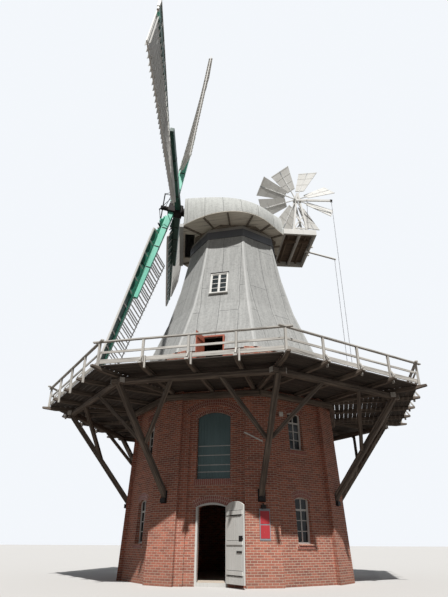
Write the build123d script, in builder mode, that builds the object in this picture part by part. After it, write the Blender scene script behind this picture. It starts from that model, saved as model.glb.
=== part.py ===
from build123d import *
from math import atan2, cos, degrees, hypot, radians, sin, sqrt, tan
import os

# Gallery windmill: a brick octagon with a timber gallery, a concave octagonal smock, a turning
# cap with four shuttered sails at its head and a fan wheel at its tail.
# Millimetres, +Z up, Z = 0 at the ground, the Z axis is the tower's axis, the entrance faces -Y.

os.makedirs("parts", exist_ok=True)

# General
half_face = 22.5              # half the angle that one face of the octagon takes
corner_turns = [half_face + 45 * k for k in range(8)]
side_turns = [45 * k for k in range(8)]
joint_gap = 0.3               # clearance between pieces that are fitted together
running_gap = 6               # clearance between pieces that move past each other
end_overrun = 200             # how far a cutting shape reaches past what it cuts

# Brick base, which leans inwards as it rises
base_face = 5123              # axis to the face of a corner pilaster, at the ground
batter = 0.045                # inward lean for each unit of height
panel_half = 1320             # half the width of a wall panel between two pilasters
pilaster_rise = 200           # how far a pilaster stands out from the panels
wall_thickness = 600
wall_top = 9000

# Floors
ground_slab = 120
floor_thickness = 180
loading_floor_top = 3480
deck_top = 7160
smock_floor_top = 11500

# Entrance bay
niche_half = 1000             # arched recess that holds the two doors of the entrance side
niche_depth = 120
niche_spring = 6140
niche_rise = 330
entrance_half = 608
entrance_spring = 2580
entrance_rise = 150
entrance_face = 4640          # axis to the front of the entrance frame
frame_width = 70
frame_depth = 160
leaf_thickness = 50
leaf_open = 135               # how far the leaf stands open at rest
leaf_lap = 30                 # how far the closed leaf laps over the frame
hinge_pin = 9
hinge_strap = 160
hinge_heights = (600, 2150)
hinge_length = 120
loading_half = 690
loading_sill = 3590
loading_spring = 6000
loading_rise = 210
loading_face = 4300           # axis to the front of the loading door
door_thickness = 70

# Windows of the brick base: sill height, springing height and axis to the frame's front
window_half = 370
window_rise = 90
window_rows = ((1300, 2880, 4550), (4720, 6220, 4390))
window_frame_width = 55
window_frame_depth = 80
glass_thickness = 12
sill_height = 60
sill_overhang = 60

# Smock: height and corner radius of each level
smock_levels = ((wall_top, 4760), (10200, 4260), (11800, 3620), (13900, 3050), (16350, 2560))
smock_thickness = 140
smock_window_half = 460
smock_window_half_height = 680
smock_window_level = 13120
smock_window_shift = -170     # the window's middle lies a little to the side of the axis
gallery_door_half = 500
gallery_door_shift = -100     # the opening's middle lies a little to the side of the axis
gallery_door_top = 9720
gallery_door_face = 4330
gallery_leaf_open = 98

# Curb
curb_band_height = 450
curb_band_radius = 2610
curb_ring_height = 220
curb_ring_radius = 2560
curb_inner = 2200

# Gallery
beam_radius = 8035            # axis to the outer corner of the ring beam
beam_size = 240
beam_low = 6700
beam_overrun = 260
joist_depth = 170
joist_half = 75
joist_end = 8600
corner_joist_end = 9330
deck_thickness = 50
deck_edge = 8320              # axis to the middle of a deck side
plate_width = 200
post_size = 90
rail_top = 8080
rail_thickness = 60
rail_width = 120
rail_overrun = 280
bay_count = 4
lower_rails = ((7200, 7370, 35), (7600, 7690, 45))

# Gallery struts
strut_foot = 3054             # height of the foot's middle
strut_head = 7890             # axis to the head's middle
strut_depth = 230
strut_half = 100
brace_size = 150
brace_share = 0.45            # height of the braces' feet as a share of the strut
brace_reach = 2050            # ring beam's corner to the head of a brace

# Cap; its pieces are drawn with the windshaft towards +X and then turned together
cap_turn = 197.5
eave_level = 17190
soffit_thickness = 30
rafter_depth = 70
rafter_half = 45
rafter_count = 16             # two of them are left out, at the opening under the front
front_opening = (2400, 2950)  # start and end of the opening in the soffit, from the axis
front_opening_half = 1250
front_beam_depth = 220
front_beam_low = 130          # how far the front beam reaches below and above the eave
front_beam_high = 70
roller_count = 12
roller_radius = 55
roller_start = 2210
roller_length = 120
cap_sections = ((3050, 2100, 3150), (2200, 2850, 2900), (1100, 3450, 2600), (0, 3600, 2380),
                (-1100, 3220, 2220), (-2050, 2350, 2150), (-2700, 1700, 2080))
roof_thickness = 80
board_thickness = 40
sheer_width = 260
sheer_depth = 300
stage_end = -4620
stage_half = 1810
stage_board = 40

# Windshaft and sails
hub_reach = 3650
hub_level = 19780
shaft_tilt = 12.7
shaft_radius = 250
shaft_length = 4700
poll_size = 620
poll_half = 430
stock_depth = 300
stock_width = 320
stock_tip_share = 0.7         # the stock's section at its end, as a share of that at the hub
stock_gap = 60
stock_reach = 6500
sail_lean = 2.8               # how far the arms lean forwards
whip_depth = 140
whip_width = 190
whip_tip_width = 110
sail_length = 12500
sail_spin = -90               # first sail's angle from the top; minus is towards the entrance side
drive_heel = 2960             # hub to the first bar of the shuttered side
lead_bays = 1                 # bays by which the leading side starts nearer the hub
bar_pitch = 860
bar_count = 12
bar_size = 50
drive_width = 2000            # whip's middle to the outer edge of the shutters
lead_width = 700              # whip's middle to the outer edge of the leading boards
heel_weather = 19             # turn of the sail's surface at its first bar
tip_weather = 5
shutter_thickness = 16
shutter_gap = 40
shutter_open = -62            # turn of each shutter out of the sail's surface; minus is forwards
shutters_in_bay = 3
cheek_start = 760
cheek_thickness = 60
cheek_width = 330             # whip's middle to the crest of a scalloped edge
cheek_scallop = 110
spider_reach = 900

# Fan wheel
fan_reach = -4200
fan_level = 21600
fan_side = 450                # sideways place of the wheel's middle, away from the entrance side
fan_radius = 2550
fan_blades = 8
fan_hub_radius = 160
fan_hub_length = 420
blade_root = 750
blade_root_width = 600
blade_tip_width = 1350
blade_thickness = 30
blade_pitch = 32
fan_post_gap = 400
fan_post_size = 110
fan_post_spread = 620

# Striking chain, the pole and the lever that carry it
striking_side = 110           # sideways place of the chain, towards the entrance side
pole_start = -4360
pole_tip = -6200
pole_level = 17170            # height of the pole's axis at its start
pole_slope = 0.26
pole_radius = 60
lever_start = -4050
lever_tip = -6450
lever_low = (21020, 21150)    # height of the lever's underside at its start and at its tip
lever_depth = 120
lever_width = 100
chain_reach = -6260
chain_gap = 260
chain_low = 8300
chain_thickness = 24


def pilaster_face(height):
    return base_face - batter * height


def panel_face(height):
    turn = radians(half_face)
    return pilaster_face(height) / cos(turn) - panel_half * tan(turn) - pilaster_rise


def inner_face(height):
    return panel_face(height) - wall_thickness


def arch(half, low, spring, rise):
    with BuildSketch() as outline:
        with BuildLine():
            Polyline((-half, spring), (-half, low), (half, low), (half, spring))
            ThreePointArc((half, spring), (0, spring + rise), (-half, spring))
        make_face()
    return outline.sketch


def write(piece, name, place=Location()):
    solid = piece.part.moved(place)
    solid.label = name
    export_step(solid, f"parts/{name}.step")


def copies(piece, turns, name):
    with BuildPart() as group:
        for turn in turns:
            add(piece.part, rotation=(0, 0, turn))
    write(group, name)


# Brick walls

def wall_slab(setback, thickness):
    low, high = panel_face(0) - setback, panel_face(wall_top) - setback
    with BuildPart() as slab:
        with BuildSketch(Plane.YZ):
            Polygon((-low, 0), (-high, wall_top), (thickness - high, wall_top),
                    (thickness - low, 0), align=None)
        extrude(amount=panel_half, both=True)
    return slab.part


with BuildPart() as panel_wall:
    add(wall_slab(0, wall_thickness))
copies(panel_wall, (90, 180, 270), "plain_walls")

with BuildPart() as window_wall:
    add(panel_wall.part)
    for sill, spring, face in window_rows:
        with BuildSketch(Plane.XZ.offset(face - wall_thickness - end_overrun)):
            add(arch(window_half, sill, spring, window_rise))
        extrude(amount=wall_thickness + 4 * end_overrun, mode=Mode.SUBTRACT)
copies(window_wall, (45, 135, 225, 315), "window_walls")

with BuildPart() as front_wall:
    add(wall_slab(0, niche_depth))
    with BuildSketch(Plane.XZ.offset(inner_face(wall_top))):
        add(arch(niche_half, 0, niche_spring, niche_rise))
    extrude(amount=wall_thickness + 4 * end_overrun, mode=Mode.SUBTRACT)
    add(wall_slab(niche_depth, wall_thickness - niche_depth))
    with BuildSketch(Plane.XZ.offset(inner_face(wall_top) - end_overrun)):
        add(arch(entrance_half, 0, entrance_spring, entrance_rise))
        add(arch(loading_half, loading_sill, loading_spring, loading_rise))
        with Locations((gallery_door_shift, (deck_top + wall_top) / 2)):
            Rectangle(2 * gallery_door_half, wall_top - deck_top)
    extrude(amount=wall_thickness + 6 * end_overrun, mode=Mode.SUBTRACT)

with BuildPart() as front_wall_sides:
    add(front_wall.part)
    Box(2 * entrance_half, 3 * base_face, 3 * wall_top, mode=Mode.SUBTRACT)
write(front_wall_sides, "front_wall_sides")

with BuildPart() as front_wall_middle:
    add(front_wall.part)
    Box(2 * entrance_half, 3 * base_face, 3 * wall_top, mode=Mode.INTERSECT)
write(front_wall_middle, "front_wall_middle")


def pilaster_outline(height):
    turn = radians(half_face)
    face = pilaster_face(height)
    half = (face * sin(turn) - panel_half) / cos(turn)
    inward = pilaster_rise + wall_thickness
    back = (face - inward * cos(turn), half - inward * sin(turn))
    corner = inner_face(height) / cos(turn)
    return ((face, -half), (face, half), back, (corner, 0), (back[0], -back[1]))


with BuildPart() as pilaster:
    for height in (0, wall_top):
        with BuildSketch(Plane.XY.offset(height)):
            Polygon(*pilaster_outline(height), align=None)
    loft(ruled=True)
copies(pilaster, corner_turns, "corner_pilasters")


# Floors

def floor_slab(low, high, radius):
    with BuildPart() as slab:
        for height in (low, high):
            with BuildSketch(Plane.XY.offset(height)):
                RegularPolygon(radius(height), 8, major_radius=False, rotation=half_face)
        loft(ruled=True)
    return slab.part


with BuildPart() as ground_floor:
    add(floor_slab(0, ground_slab, inner_face))
write(ground_floor, "ground_floor")


def smock_radius(height):
    for (low, low_radius), (high, high_radius) in zip(smock_levels, smock_levels[1:]):
        if low <= height <= high:
            return low_radius + (high_radius - low_radius) * (height - low) / (high - low)
    return smock_levels[-1][1]


def smock_inner(height):
    return smock_radius(height) * cos(radians(half_face)) - smock_thickness


with BuildPart() as upper_floors:
    for top in (loading_floor_top, deck_top):
        add(floor_slab(top - floor_thickness, top, inner_face))
    add(floor_slab(smock_floor_top - floor_thickness, smock_floor_top, smock_inner))
write(upper_floors, "upper_floors")


# Windows of the base

with BuildPart() as window_frame:
    for sill, spring, face in window_rows:
        low = sill + sill_height
        with BuildSketch(Plane.XZ.offset(face - window_frame_depth)):
            add(arch(window_half, low, spring, window_rise - joint_gap))
            add(arch(window_half - window_frame_width, low + window_frame_width, spring,
                     window_rise - window_frame_width), mode=Mode.SUBTRACT)
        extrude(amount=window_frame_depth)
copies(window_frame, (45, 135, 225, 315), "window_frames")

with BuildPart() as window_pane:
    for sill, spring, face in window_rows:
        with BuildSketch(Plane.XZ.offset(face - window_frame_depth / 2)):
            add(arch(window_half - window_frame_width, sill + sill_height + window_frame_width,
                     spring, window_rise - window_frame_width))
        extrude(amount=glass_thickness)
copies(window_pane, (45, 135, 225, 315), "window_glass")

with BuildPart() as window_sill:
    for sill, spring, face in window_rows:
        nose = panel_face(sill) + sill_overhang
        with BuildSketch(Plane.YZ):
            Polygon((-nose, sill), (-nose, sill + sill_height * 0.6), (-face, sill + sill_height),
                    (window_frame_depth - face, sill + sill_height),
                    (window_frame_depth - face, sill), align=None)
        extrude(amount=window_half, both=True)
copies(window_sill, (45, 135, 225, 315), "window_sills")


# Entrance

hinge_x = entrance_half - hinge_pin - joint_gap
leaf_front = entrance_face + running_gap + leaf_thickness
hinge_y = -(leaf_front + hinge_pin)

with BuildPart() as entrance_frame:
    with BuildSketch(Plane.XZ.offset(entrance_face - frame_depth)):
        add(arch(entrance_half, 0, entrance_spring, entrance_rise - joint_gap))
        add(arch(entrance_half - frame_width, ground_slab, entrance_spring,
                 entrance_rise - frame_width), mode=Mode.SUBTRACT)
    extrude(amount=frame_depth)
    for height in hinge_heights:
        with BuildSketch(Plane.XY.offset(height - hinge_length / 2 - 2 * hinge_pin)):
            with Locations((hinge_x, (hinge_y - entrance_face) / 2)):
                Rectangle(2 * hinge_pin, -hinge_y - entrance_face + 2 * hinge_pin)
        extrude(amount=2 * hinge_pin - joint_gap)
        with BuildSketch(Plane.XY.offset(height - hinge_length / 2 - 2 * hinge_pin)):
            with Locations((hinge_x, hinge_y)):
                Circle(hinge_pin)
        extrude(amount=hinge_length + 2 * hinge_pin)
write(entrance_frame, "entrance_frame")

leaf_back = entrance_face + running_gap
leaf_low = ground_slab + running_gap
leaf_left = frame_width - leaf_lap - entrance_half
leaf_right = hinge_x - 3 * hinge_pin
leaf_place = Location((hinge_x, hinge_y, 0)) * Rotation(0, 0, leaf_open) * Location((-hinge_x, -hinge_y, 0))
with BuildPart() as entrance_leaf:
    with BuildSketch(Plane.XZ.offset(leaf_back)):
        with BuildLine():
            Polyline((leaf_left, entrance_spring), (leaf_left, leaf_low),
                     (leaf_right, leaf_low), (leaf_right, entrance_spring))
            ThreePointArc((leaf_right, entrance_spring),
                          ((leaf_left + leaf_right) / 2, entrance_spring + entrance_rise),
                          (leaf_left, entrance_spring))
        make_face()
    extrude(amount=leaf_thickness)
    for height in hinge_heights:
        with BuildSketch(Plane.XY.offset(height - hinge_length / 2)):
            with Locations((hinge_x, hinge_y)):
                Circle(2 * hinge_pin)
            with Locations(((leaf_right - hinge_strap + hinge_x) / 2, hinge_y + hinge_pin / 2)):
                Rectangle(hinge_x - leaf_right + hinge_strap, hinge_pin * 1.2)
            with Locations((hinge_x, hinge_y)):
                Circle(hinge_pin + joint_gap, mode=Mode.SUBTRACT)
        extrude(amount=hinge_length)
write(entrance_leaf, "entrance_leaf", leaf_place)


# Loading door

with BuildPart() as loading_door:
    with BuildSketch(Plane.XZ.offset(loading_face - door_thickness)):
        add(arch(loading_half, loading_sill, loading_spring, loading_rise - joint_gap))
    extrude(amount=door_thickness)
write(loading_door, "loading_door")


# Smock

window_strip = [level for level in smock_levels if level[0] <= smock_window_level][-1]
next_strip = smock_levels[smock_levels.index(window_strip) + 1]
smock_lean = degrees(atan2((window_strip[1] - next_strip[1]) * cos(radians(half_face)),
                           next_strip[0] - window_strip[0]))
smock_face_out = smock_radius(smock_window_level) * cos(radians(half_face))
window_normal = (0, -cos(radians(smock_lean)), sin(radians(smock_lean)))
window_plane = Plane(origin=(smock_window_shift, -smock_face_out, smock_window_level),
                     x_dir=(1, 0, 0), z_dir=window_normal)

with BuildPart() as smock_side:
    for height, corner in smock_levels:
        outer = corner * cos(radians(half_face))
        inner = outer - smock_thickness
        half = outer * tan(radians(half_face))
        inner_half = inner * tan(radians(half_face))
        with BuildSketch(Plane.XY.offset(height)):
            Polygon((-half, -outer), (half, -outer), (inner_half, -inner), (-inner_half, -inner),
                    align=None)
    loft(ruled=True)
copies(smock_side, (-45, 45, -135, 135), "smock_diagonals")

with BuildPart() as smock_back:
    add(smock_side.part)
    with BuildSketch(window_plane.offset(-2 * smock_thickness)):
        Rectangle(2 * smock_window_half, 2 * smock_window_half_height)
    extrude(amount=3 * smock_thickness, mode=Mode.SUBTRACT)

with BuildPart() as smock_sides:
    add(smock_side.part, rotation=(0, 0, 90))
    add(smock_side.part, rotation=(0, 0, -90))
    add(smock_back.part, rotation=(0, 0, 180))
write(smock_sides, "smock_sides")

with BuildPart() as smock_front:
    add(smock_back.part)
    with BuildSketch(Plane.XY.offset(wall_top)):
        with Locations((gallery_door_shift, -gallery_door_face)):
            Rectangle(2 * gallery_door_half, 4 * smock_thickness + 2 * end_overrun)
    extrude(amount=gallery_door_top - wall_top, mode=Mode.SUBTRACT)
write(smock_front, "smock_front")

with BuildPart() as smock_window:
    with BuildSketch(window_plane.offset(-smock_thickness / 2)):
        Rectangle(2 * smock_window_half, 2 * smock_window_half_height)
        Rectangle(2 * (smock_window_half - window_frame_width),
                  2 * (smock_window_half_height - window_frame_width), mode=Mode.SUBTRACT)
    extrude(amount=smock_thickness)
    with BuildSketch(window_plane):
        Rectangle(2 * (smock_window_half - window_frame_width),
                  2 * (smock_window_half_height - window_frame_width))
    extrude(amount=glass_thickness)
copies(smock_window, (0, 180), "smock_windows")

with BuildPart() as gallery_door:
    with BuildSketch(Plane.XZ.offset(gallery_door_face - window_frame_depth)):
        with Locations((gallery_door_shift, (deck_top + gallery_door_top) / 2)):
            Rectangle(2 * gallery_door_half, gallery_door_top - deck_top)
            Rectangle(2 * (gallery_door_half - frame_width),
                      gallery_door_top - deck_top - 2 * frame_width, mode=Mode.SUBTRACT)
    extrude(amount=window_frame_depth)
    leaf_swing = radians(180 + gallery_leaf_open)
    leaf_hinge = (gallery_door_shift - gallery_door_half + frame_width / 2 + board_thickness / 2,
                  -gallery_door_face)
    with BuildSketch(Plane(origin=(*leaf_hinge, deck_top + frame_width),
                           x_dir=(-cos(leaf_swing), sin(leaf_swing), 0), z_dir=(0, 0, 1))):
        with Locations((gallery_door_half - frame_width, 0)):
            Rectangle(2 * (gallery_door_half - frame_width), board_thickness)
    extrude(amount=gallery_door_top - deck_top - 2 * frame_width)
write(gallery_door, "gallery_door")


# Curb

smock_top = smock_levels[-1][0]

with BuildPart() as curb_band:
    with BuildSketch(Plane.XY.offset(smock_top)):
        RegularPolygon(curb_band_radius, 8, rotation=half_face)
        RegularPolygon(curb_inner, 8, rotation=half_face, mode=Mode.SUBTRACT)
    extrude(amount=curb_band_height)
write(curb_band, "curb_band")

curb_top = smock_top + curb_band_height + curb_ring_height
with BuildPart() as curb_ring:
    with BuildSketch(Plane.XY.offset(smock_top + curb_band_height)):
        RegularPolygon(curb_ring_radius, 8, rotation=half_face)
        RegularPolygon(curb_inner, 8, rotation=half_face, mode=Mode.SUBTRACT)
    extrude(amount=curb_ring_height)
write(curb_ring, "curb_ring")


# Gallery

turn = radians(half_face)
beam_face = beam_radius * cos(turn)
joist_low = beam_low + beam_size
joist_top = joist_low + joist_depth
plate_inner = panel_face(beam_low) + pilaster_rise + joint_gap
beam_half_length = beam_radius * sin(turn) + beam_overrun

with BuildPart() as gallery_wall_plate:
    with BuildSketch(Plane.XY.offset(beam_low)):
        RegularPolygon(plate_inner + plate_width, 8, major_radius=False, rotation=half_face)
        RegularPolygon(plate_inner, 8, major_radius=False, rotation=half_face, mode=Mode.SUBTRACT)
    extrude(amount=beam_size)
write(gallery_wall_plate, "gallery_wall_plate")

with BuildPart() as gallery_ring_beam:
    with BuildSketch(Plane.XY.offset(beam_low)):
        with PolarLocations(beam_face - beam_size / 2, 8):
            Rectangle(beam_size, 2 * beam_half_length)
    extrude(amount=beam_size)
write(gallery_ring_beam, "gallery_ring_beam")

joist_start = plate_inner + joint_gap
corner_joist_start = pilaster_face(joist_low) + joint_gap
rail_middle = deck_edge + post_size / 2
bay = 2 * rail_middle * tan(turn) / bay_count


def joist(start, end, shift):
    with BuildPart() as timber:
        with BuildSketch(Plane.XZ.offset(-shift)):
            Polygon((start, joist_low), (end - 260, joist_low), (end, joist_low + joist_depth / 2),
                    (end, joist_top), (start, joist_top), align=None)
        extrude(amount=joist_half, both=True)
    return timber.part


side_joists = [joist(joist_start, joist_end, step * bay)
               for step in range(1 - bay_count // 2, bay_count // 2)]
corner_joist = joist(corner_joist_start, corner_joist_end, 0)
with BuildPart() as gallery_joists:
    for side in side_turns:
        for timber in side_joists:
            add(timber, rotation=(0, 0, side))
    for corner in corner_turns:
        add(corner_joist, rotation=(0, 0, corner))
write(gallery_joists, "gallery_joists")

with BuildPart() as gallery_deck:
    with BuildSketch(Plane.XY.offset(joist_top)):
        RegularPolygon(deck_edge, 8, major_radius=False, rotation=half_face)
        RegularPolygon(panel_face(joist_top) + joint_gap, 8, major_radius=False,
                       rotation=half_face, mode=Mode.SUBTRACT)
    extrude(amount=deck_thickness)
    for corner in corner_turns:
        add(pilaster.part, rotation=(0, 0, corner), mode=Mode.SUBTRACT)
write(gallery_deck, "gallery_deck")

post_top = rail_top - rail_thickness
with BuildPart() as gallery_posts:
    with BuildSketch(Plane.XY.offset(joist_top)):
        for side in side_turns:
            for step in range(1 - bay_count // 2, bay_count // 2):
                place = Location((rail_middle * cos(radians(side)) - step * bay * sin(radians(side)),
                                  rail_middle * sin(radians(side)) + step * bay * cos(radians(side))),
                                 side)
                with Locations(place):
                    Rectangle(post_size, post_size)
        with PolarLocations((deck_edge + joint_gap) / cos(turn) + post_size / 2, 8, half_face):
            Rectangle(post_size, post_size)
    extrude(amount=post_top - joist_top)
write(gallery_posts, "gallery_posts")

with BuildPart() as gallery_handrail:
    with BuildSketch(Plane.XY.offset(post_top)):
        with PolarLocations(rail_middle, 8):
            Rectangle(rail_width, 2 * (rail_middle * tan(turn) + rail_overrun))
    extrude(amount=rail_thickness)
write(gallery_handrail, "gallery_handrail")

with BuildPart() as gallery_lower_rails:
    for low, high, thickness in lower_rails:
        with BuildSketch(Plane.XY.offset(low)):
            RegularPolygon(deck_edge, 8, major_radius=False, rotation=half_face)
            RegularPolygon(deck_edge - thickness, 8, major_radius=False, rotation=half_face,
                           mode=Mode.SUBTRACT)
        extrude(amount=high - low)
write(gallery_lower_rails, "gallery_lower_rails")


# Gallery struts and braces

foot_face = pilaster_face(strut_foot)
strut_run = strut_head - foot_face
strut_climb = beam_low - strut_foot
strut_long = hypot(strut_run, strut_climb)
foot_half = strut_depth / 2 * strut_long / (strut_run + batter * strut_climb)
head_half = strut_depth / 2 * strut_long / strut_climb

with BuildPart() as strut:
    with BuildSketch(Plane.XZ):
        Polygon((pilaster_face(strut_foot - foot_half) + joint_gap, strut_foot - foot_half),
                (strut_head + head_half, beam_low), (strut_head - head_half, beam_low),
                (pilaster_face(strut_foot + foot_half) + joint_gap, strut_foot + foot_half),
                align=None)
    extrude(amount=strut_half, both=True)
copies(strut, corner_turns, "gallery_struts")

node_point = Vector(foot_face + brace_share * strut_run, 0, strut_foot + brace_share * strut_climb)
brace_level = beam_radius - beam_size / 2
with BuildPart() as brace_pair:
    for side in (1, -1):
        head_point = Vector(brace_level - brace_reach * sin(turn), side * brace_reach * cos(turn),
                            beam_low)
        along = head_point - node_point
        brace_plane = Plane(origin=node_point, x_dir=Vector(0, 0, 1).cross(along), z_dir=along)
        with BuildSketch(brace_plane):
            Rectangle(brace_size, brace_size)
        extrude(amount=along.length + brace_size)
    split(bisect_by=Plane.XY.offset(beam_low), keep=Keep.BOTTOM)
    with BuildSketch(Plane.XZ):
        with Locations((node_point.X, node_point.Z)):
            Rectangle(6 * brace_size, 8 * brace_size)
    extrude(amount=strut_half, both=True, mode=Mode.SUBTRACT)
copies(brace_pair, corner_turns, "gallery_braces")


# Cap

cap_place = Location((0, 0, 0), (0, 0, cap_turn))
cap_low = curb_top + running_gap


def dome(half, rise):
    with BuildSketch() as outline:
        with BuildLine():
            EllipticalCenterArc((0, eave_level), half, rise, start_angle=0, arc_size=180)
            Line((-half, eave_level), (half, eave_level))
        make_face()
    return outline.sketch


def cap_hull(shrink):
    with BuildPart() as hull:
        for reach, half, rise in cap_sections:
            with BuildSketch(Plane.YZ.offset(reach)):
                add(dome(half - shrink, rise - shrink))
        loft()
    return hull.part


front_reach = cap_sections[0][0]
back_reach = cap_sections[-1][0]
with BuildPart() as cap_roof:
    add(cap_hull(0))
    add(cap_hull(roof_thickness), mode=Mode.SUBTRACT)
write(cap_roof, "cap_roof", cap_place)

shaft_slope = tan(radians(shaft_tilt))


def shaft_level(reach):
    return hub_level - (hub_reach - reach) * shaft_slope


with BuildPart() as cap_ends:
    add(cap_hull(roof_thickness + joint_gap))
    with Locations(((front_reach + back_reach) / 2, 0, eave_level)):
        Box(front_reach - back_reach - 2 * board_thickness, 2 * base_face, 2 * base_face,
            mode=Mode.SUBTRACT)
    with BuildSketch(Plane(origin=(front_reach, 0, shaft_level(front_reach)), x_dir=(0, 1, 0),
                           z_dir=(1, 0, shaft_slope))):
        Circle(shaft_radius + joint_gap)
    extrude(amount=end_overrun, both=True, mode=Mode.SUBTRACT)
write(cap_ends, "cap_ends", cap_place)



def eave_outline():
    with BuildSketch() as outline:
        with BuildLine():
            Spline(*[(reach, half) for reach, half, rise in cap_sections])
            Line((back_reach, cap_sections[-1][1]), (back_reach, -cap_sections[-1][1]))
            Spline(*[(reach, -half) for reach, half, rise in cap_sections[::-1]])
            Line((front_reach, -cap_sections[0][1]), (front_reach, cap_sections[0][1]))
        make_face()
    return outline.sketch


with BuildPart() as cap_soffit:
    with BuildSketch(Plane.XY.offset(eave_level - soffit_thickness)):
        add(eave_outline())
        Circle(curb_inner, mode=Mode.SUBTRACT)
        with Locations((sum(front_opening) / 2, 0)):
            Rectangle(front_opening[1] - front_opening[0], 2 * front_opening_half,
                      mode=Mode.SUBTRACT)
    extrude(amount=soffit_thickness)
write(cap_soffit, "cap_soffit", cap_place)

with BuildPart() as cap_front_beam:
    with BuildSketch(Plane.YZ.offset(front_reach)):
        with Locations((0, eave_level + (front_beam_high - front_beam_low) / 2)):
            Rectangle(2 * cap_sections[0][1], front_beam_high + front_beam_low)
    extrude(amount=front_beam_depth)
write(cap_front_beam, "cap_front_beam", cap_place)

rafter_pitch = 360 / rafter_count

with BuildPart() as cap_frame:
    with BuildSketch(Plane.XY.offset(cap_low)):
        RegularPolygon(curb_ring_radius, 8, rotation=half_face)
        Circle(curb_inner, mode=Mode.SUBTRACT)
    extrude(amount=eave_level - soffit_thickness - cap_low)
    with BuildSketch(Plane.XY.offset(eave_level - soffit_thickness - rafter_depth)):
        with PolarLocations(curb_inner + 700, rafter_count - 2, 1.5 * rafter_pitch,
                            (rafter_count - 3) * rafter_pitch, endpoint=True):
            Rectangle(1400, 2 * rafter_half)
        add(eave_outline(), mode=Mode.INTERSECT)
    extrude(amount=rafter_depth)
    for step in range(roller_count):
        roller_plane = Plane.YZ.rotated((0, 0, 360 / roller_count * step))
        with BuildSketch(roller_plane.offset(roller_start)):
            with Locations((0, curb_top + joint_gap + roller_radius)):
                Circle(roller_radius)
        extrude(amount=roller_length)
write(cap_frame, "cap_frame", cap_place)

with BuildPart() as tail_stage:
    with BuildSketch(Plane.XY.offset(eave_level)):
        for side in (1, -1):
            with Locations(((stage_end + back_reach - joint_gap) / 2,
                            side * (stage_half - sheer_width / 4))):
                Rectangle(back_reach - joint_gap - stage_end, sheer_width / 2)
        with Locations((stage_end + sheer_width / 4, 0), ((stage_end + back_reach) / 2, 0)):
            Rectangle(sheer_width / 2, 2 * stage_half)
        with Locations((back_reach - joint_gap - sheer_width / 4, 0)):
            Rectangle(sheer_width / 2, 2 * stage_half)
    extrude(amount=sheer_depth)
    with BuildSketch(Plane.XY.offset(eave_level + sheer_depth)):
        with Locations(((stage_end + back_reach - joint_gap) / 2, 0)):
            Rectangle(back_reach - joint_gap - stage_end, 2 * stage_half)
    extrude(amount=stage_board)
write(tail_stage, "tail_stage", cap_place)


# Windshaft, stocks and sails; drawn round the hub with the shaft towards +X.
# An arm is drawn upwards, with the shutters towards +Y and the leading boards towards -Y.

sail_place = cap_place * Location((hub_reach, 0, hub_level), (0, -shaft_tilt, 0))
spin_place = sail_place * Location((0, 0, 0), (sail_spin, 0, 0))
stock_shift = (stock_depth + stock_gap) / 2
arm_places = [Location((0, 0, 0), (90 * k, 0, 0))
              * Location((stock_shift if k % 2 else -stock_shift, 0, 0), (0, sail_lean, 0))
              for k in range(4)]

with BuildPart() as windshaft:
    with BuildSketch(Plane.YZ.offset(-poll_half - shaft_length)):
        Circle(shaft_radius)
    extrude(amount=shaft_length)
write(windshaft, "windshaft", sail_place)

with BuildPart() as half_stock:
    for level, share in ((-stock_depth / 8, 1), (poll_size, 1), (stock_reach, stock_tip_share)):
        with BuildSketch(Plane.XY.offset(level)):
            Rectangle(stock_depth * share, stock_width * share)
    loft(ruled=True)

with BuildPart() as inner_stock:
    add(half_stock.part.moved(arm_places[0]))
    add(half_stock.part.moved(arm_places[2]))
write(inner_stock, "inner_stock", spin_place)

with BuildPart() as outer_stock:
    add(half_stock.part.moved(arm_places[1]))
    add(half_stock.part.moved(arm_places[3]))
write(outer_stock, "outer_stock", spin_place)

with BuildPart() as poll_end:
    with BuildSketch(Plane.YZ.offset(-poll_half)):
        RectangleRounded(poll_size, poll_size, poll_size / 10)
    extrude(amount=2 * poll_half)
    add(inner_stock.part, mode=Mode.SUBTRACT)
    add(outer_stock.part, mode=Mode.SUBTRACT)
write(poll_end, "poll_end", spin_place)

whip_front = stock_depth / 2 + whip_depth / 2
lath_start = stock_width / 2 + shutter_gap + bar_size
bar_levels = [drive_heel + bar_pitch * k for k in range(-lead_bays, bar_count)]
drive_levels = bar_levels[lead_bays:]


def weather(level):
    share = (level - drive_heel) / (sail_length - drive_heel)
    return radians(heel_weather + (tip_weather - heel_weather) * max(share, 0))


def spot(level, side, distance):
    return Vector(whip_front - side * distance * sin(weather(level)),
                  side * distance * cos(weather(level)), level)


def lath(levels, side, distance):
    with BuildPart() as strip:
        for level in levels:
            with BuildSketch(Plane(origin=spot(level, side, distance - bar_size / 2),
                                   x_dir=spot(level, side, 1) - spot(level, side, 0),
                                   z_dir=(0, 0, 1))):
                Rectangle(bar_size, bar_size)
        loft(ruled=True)
    return strip.part


def bar(level, start, end):
    with BuildPart() as stick:
        with BuildSketch(Plane(origin=spot(level, 1, (start + end) / 2) - Vector(0, 0, bar_size / 2),
                               x_dir=spot(level, 1, 1) - spot(level, 1, 0), z_dir=(0, 0, 1))):
            Rectangle(end - start, bar_size)
        extrude(amount=bar_size)
    return stick.part


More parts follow.
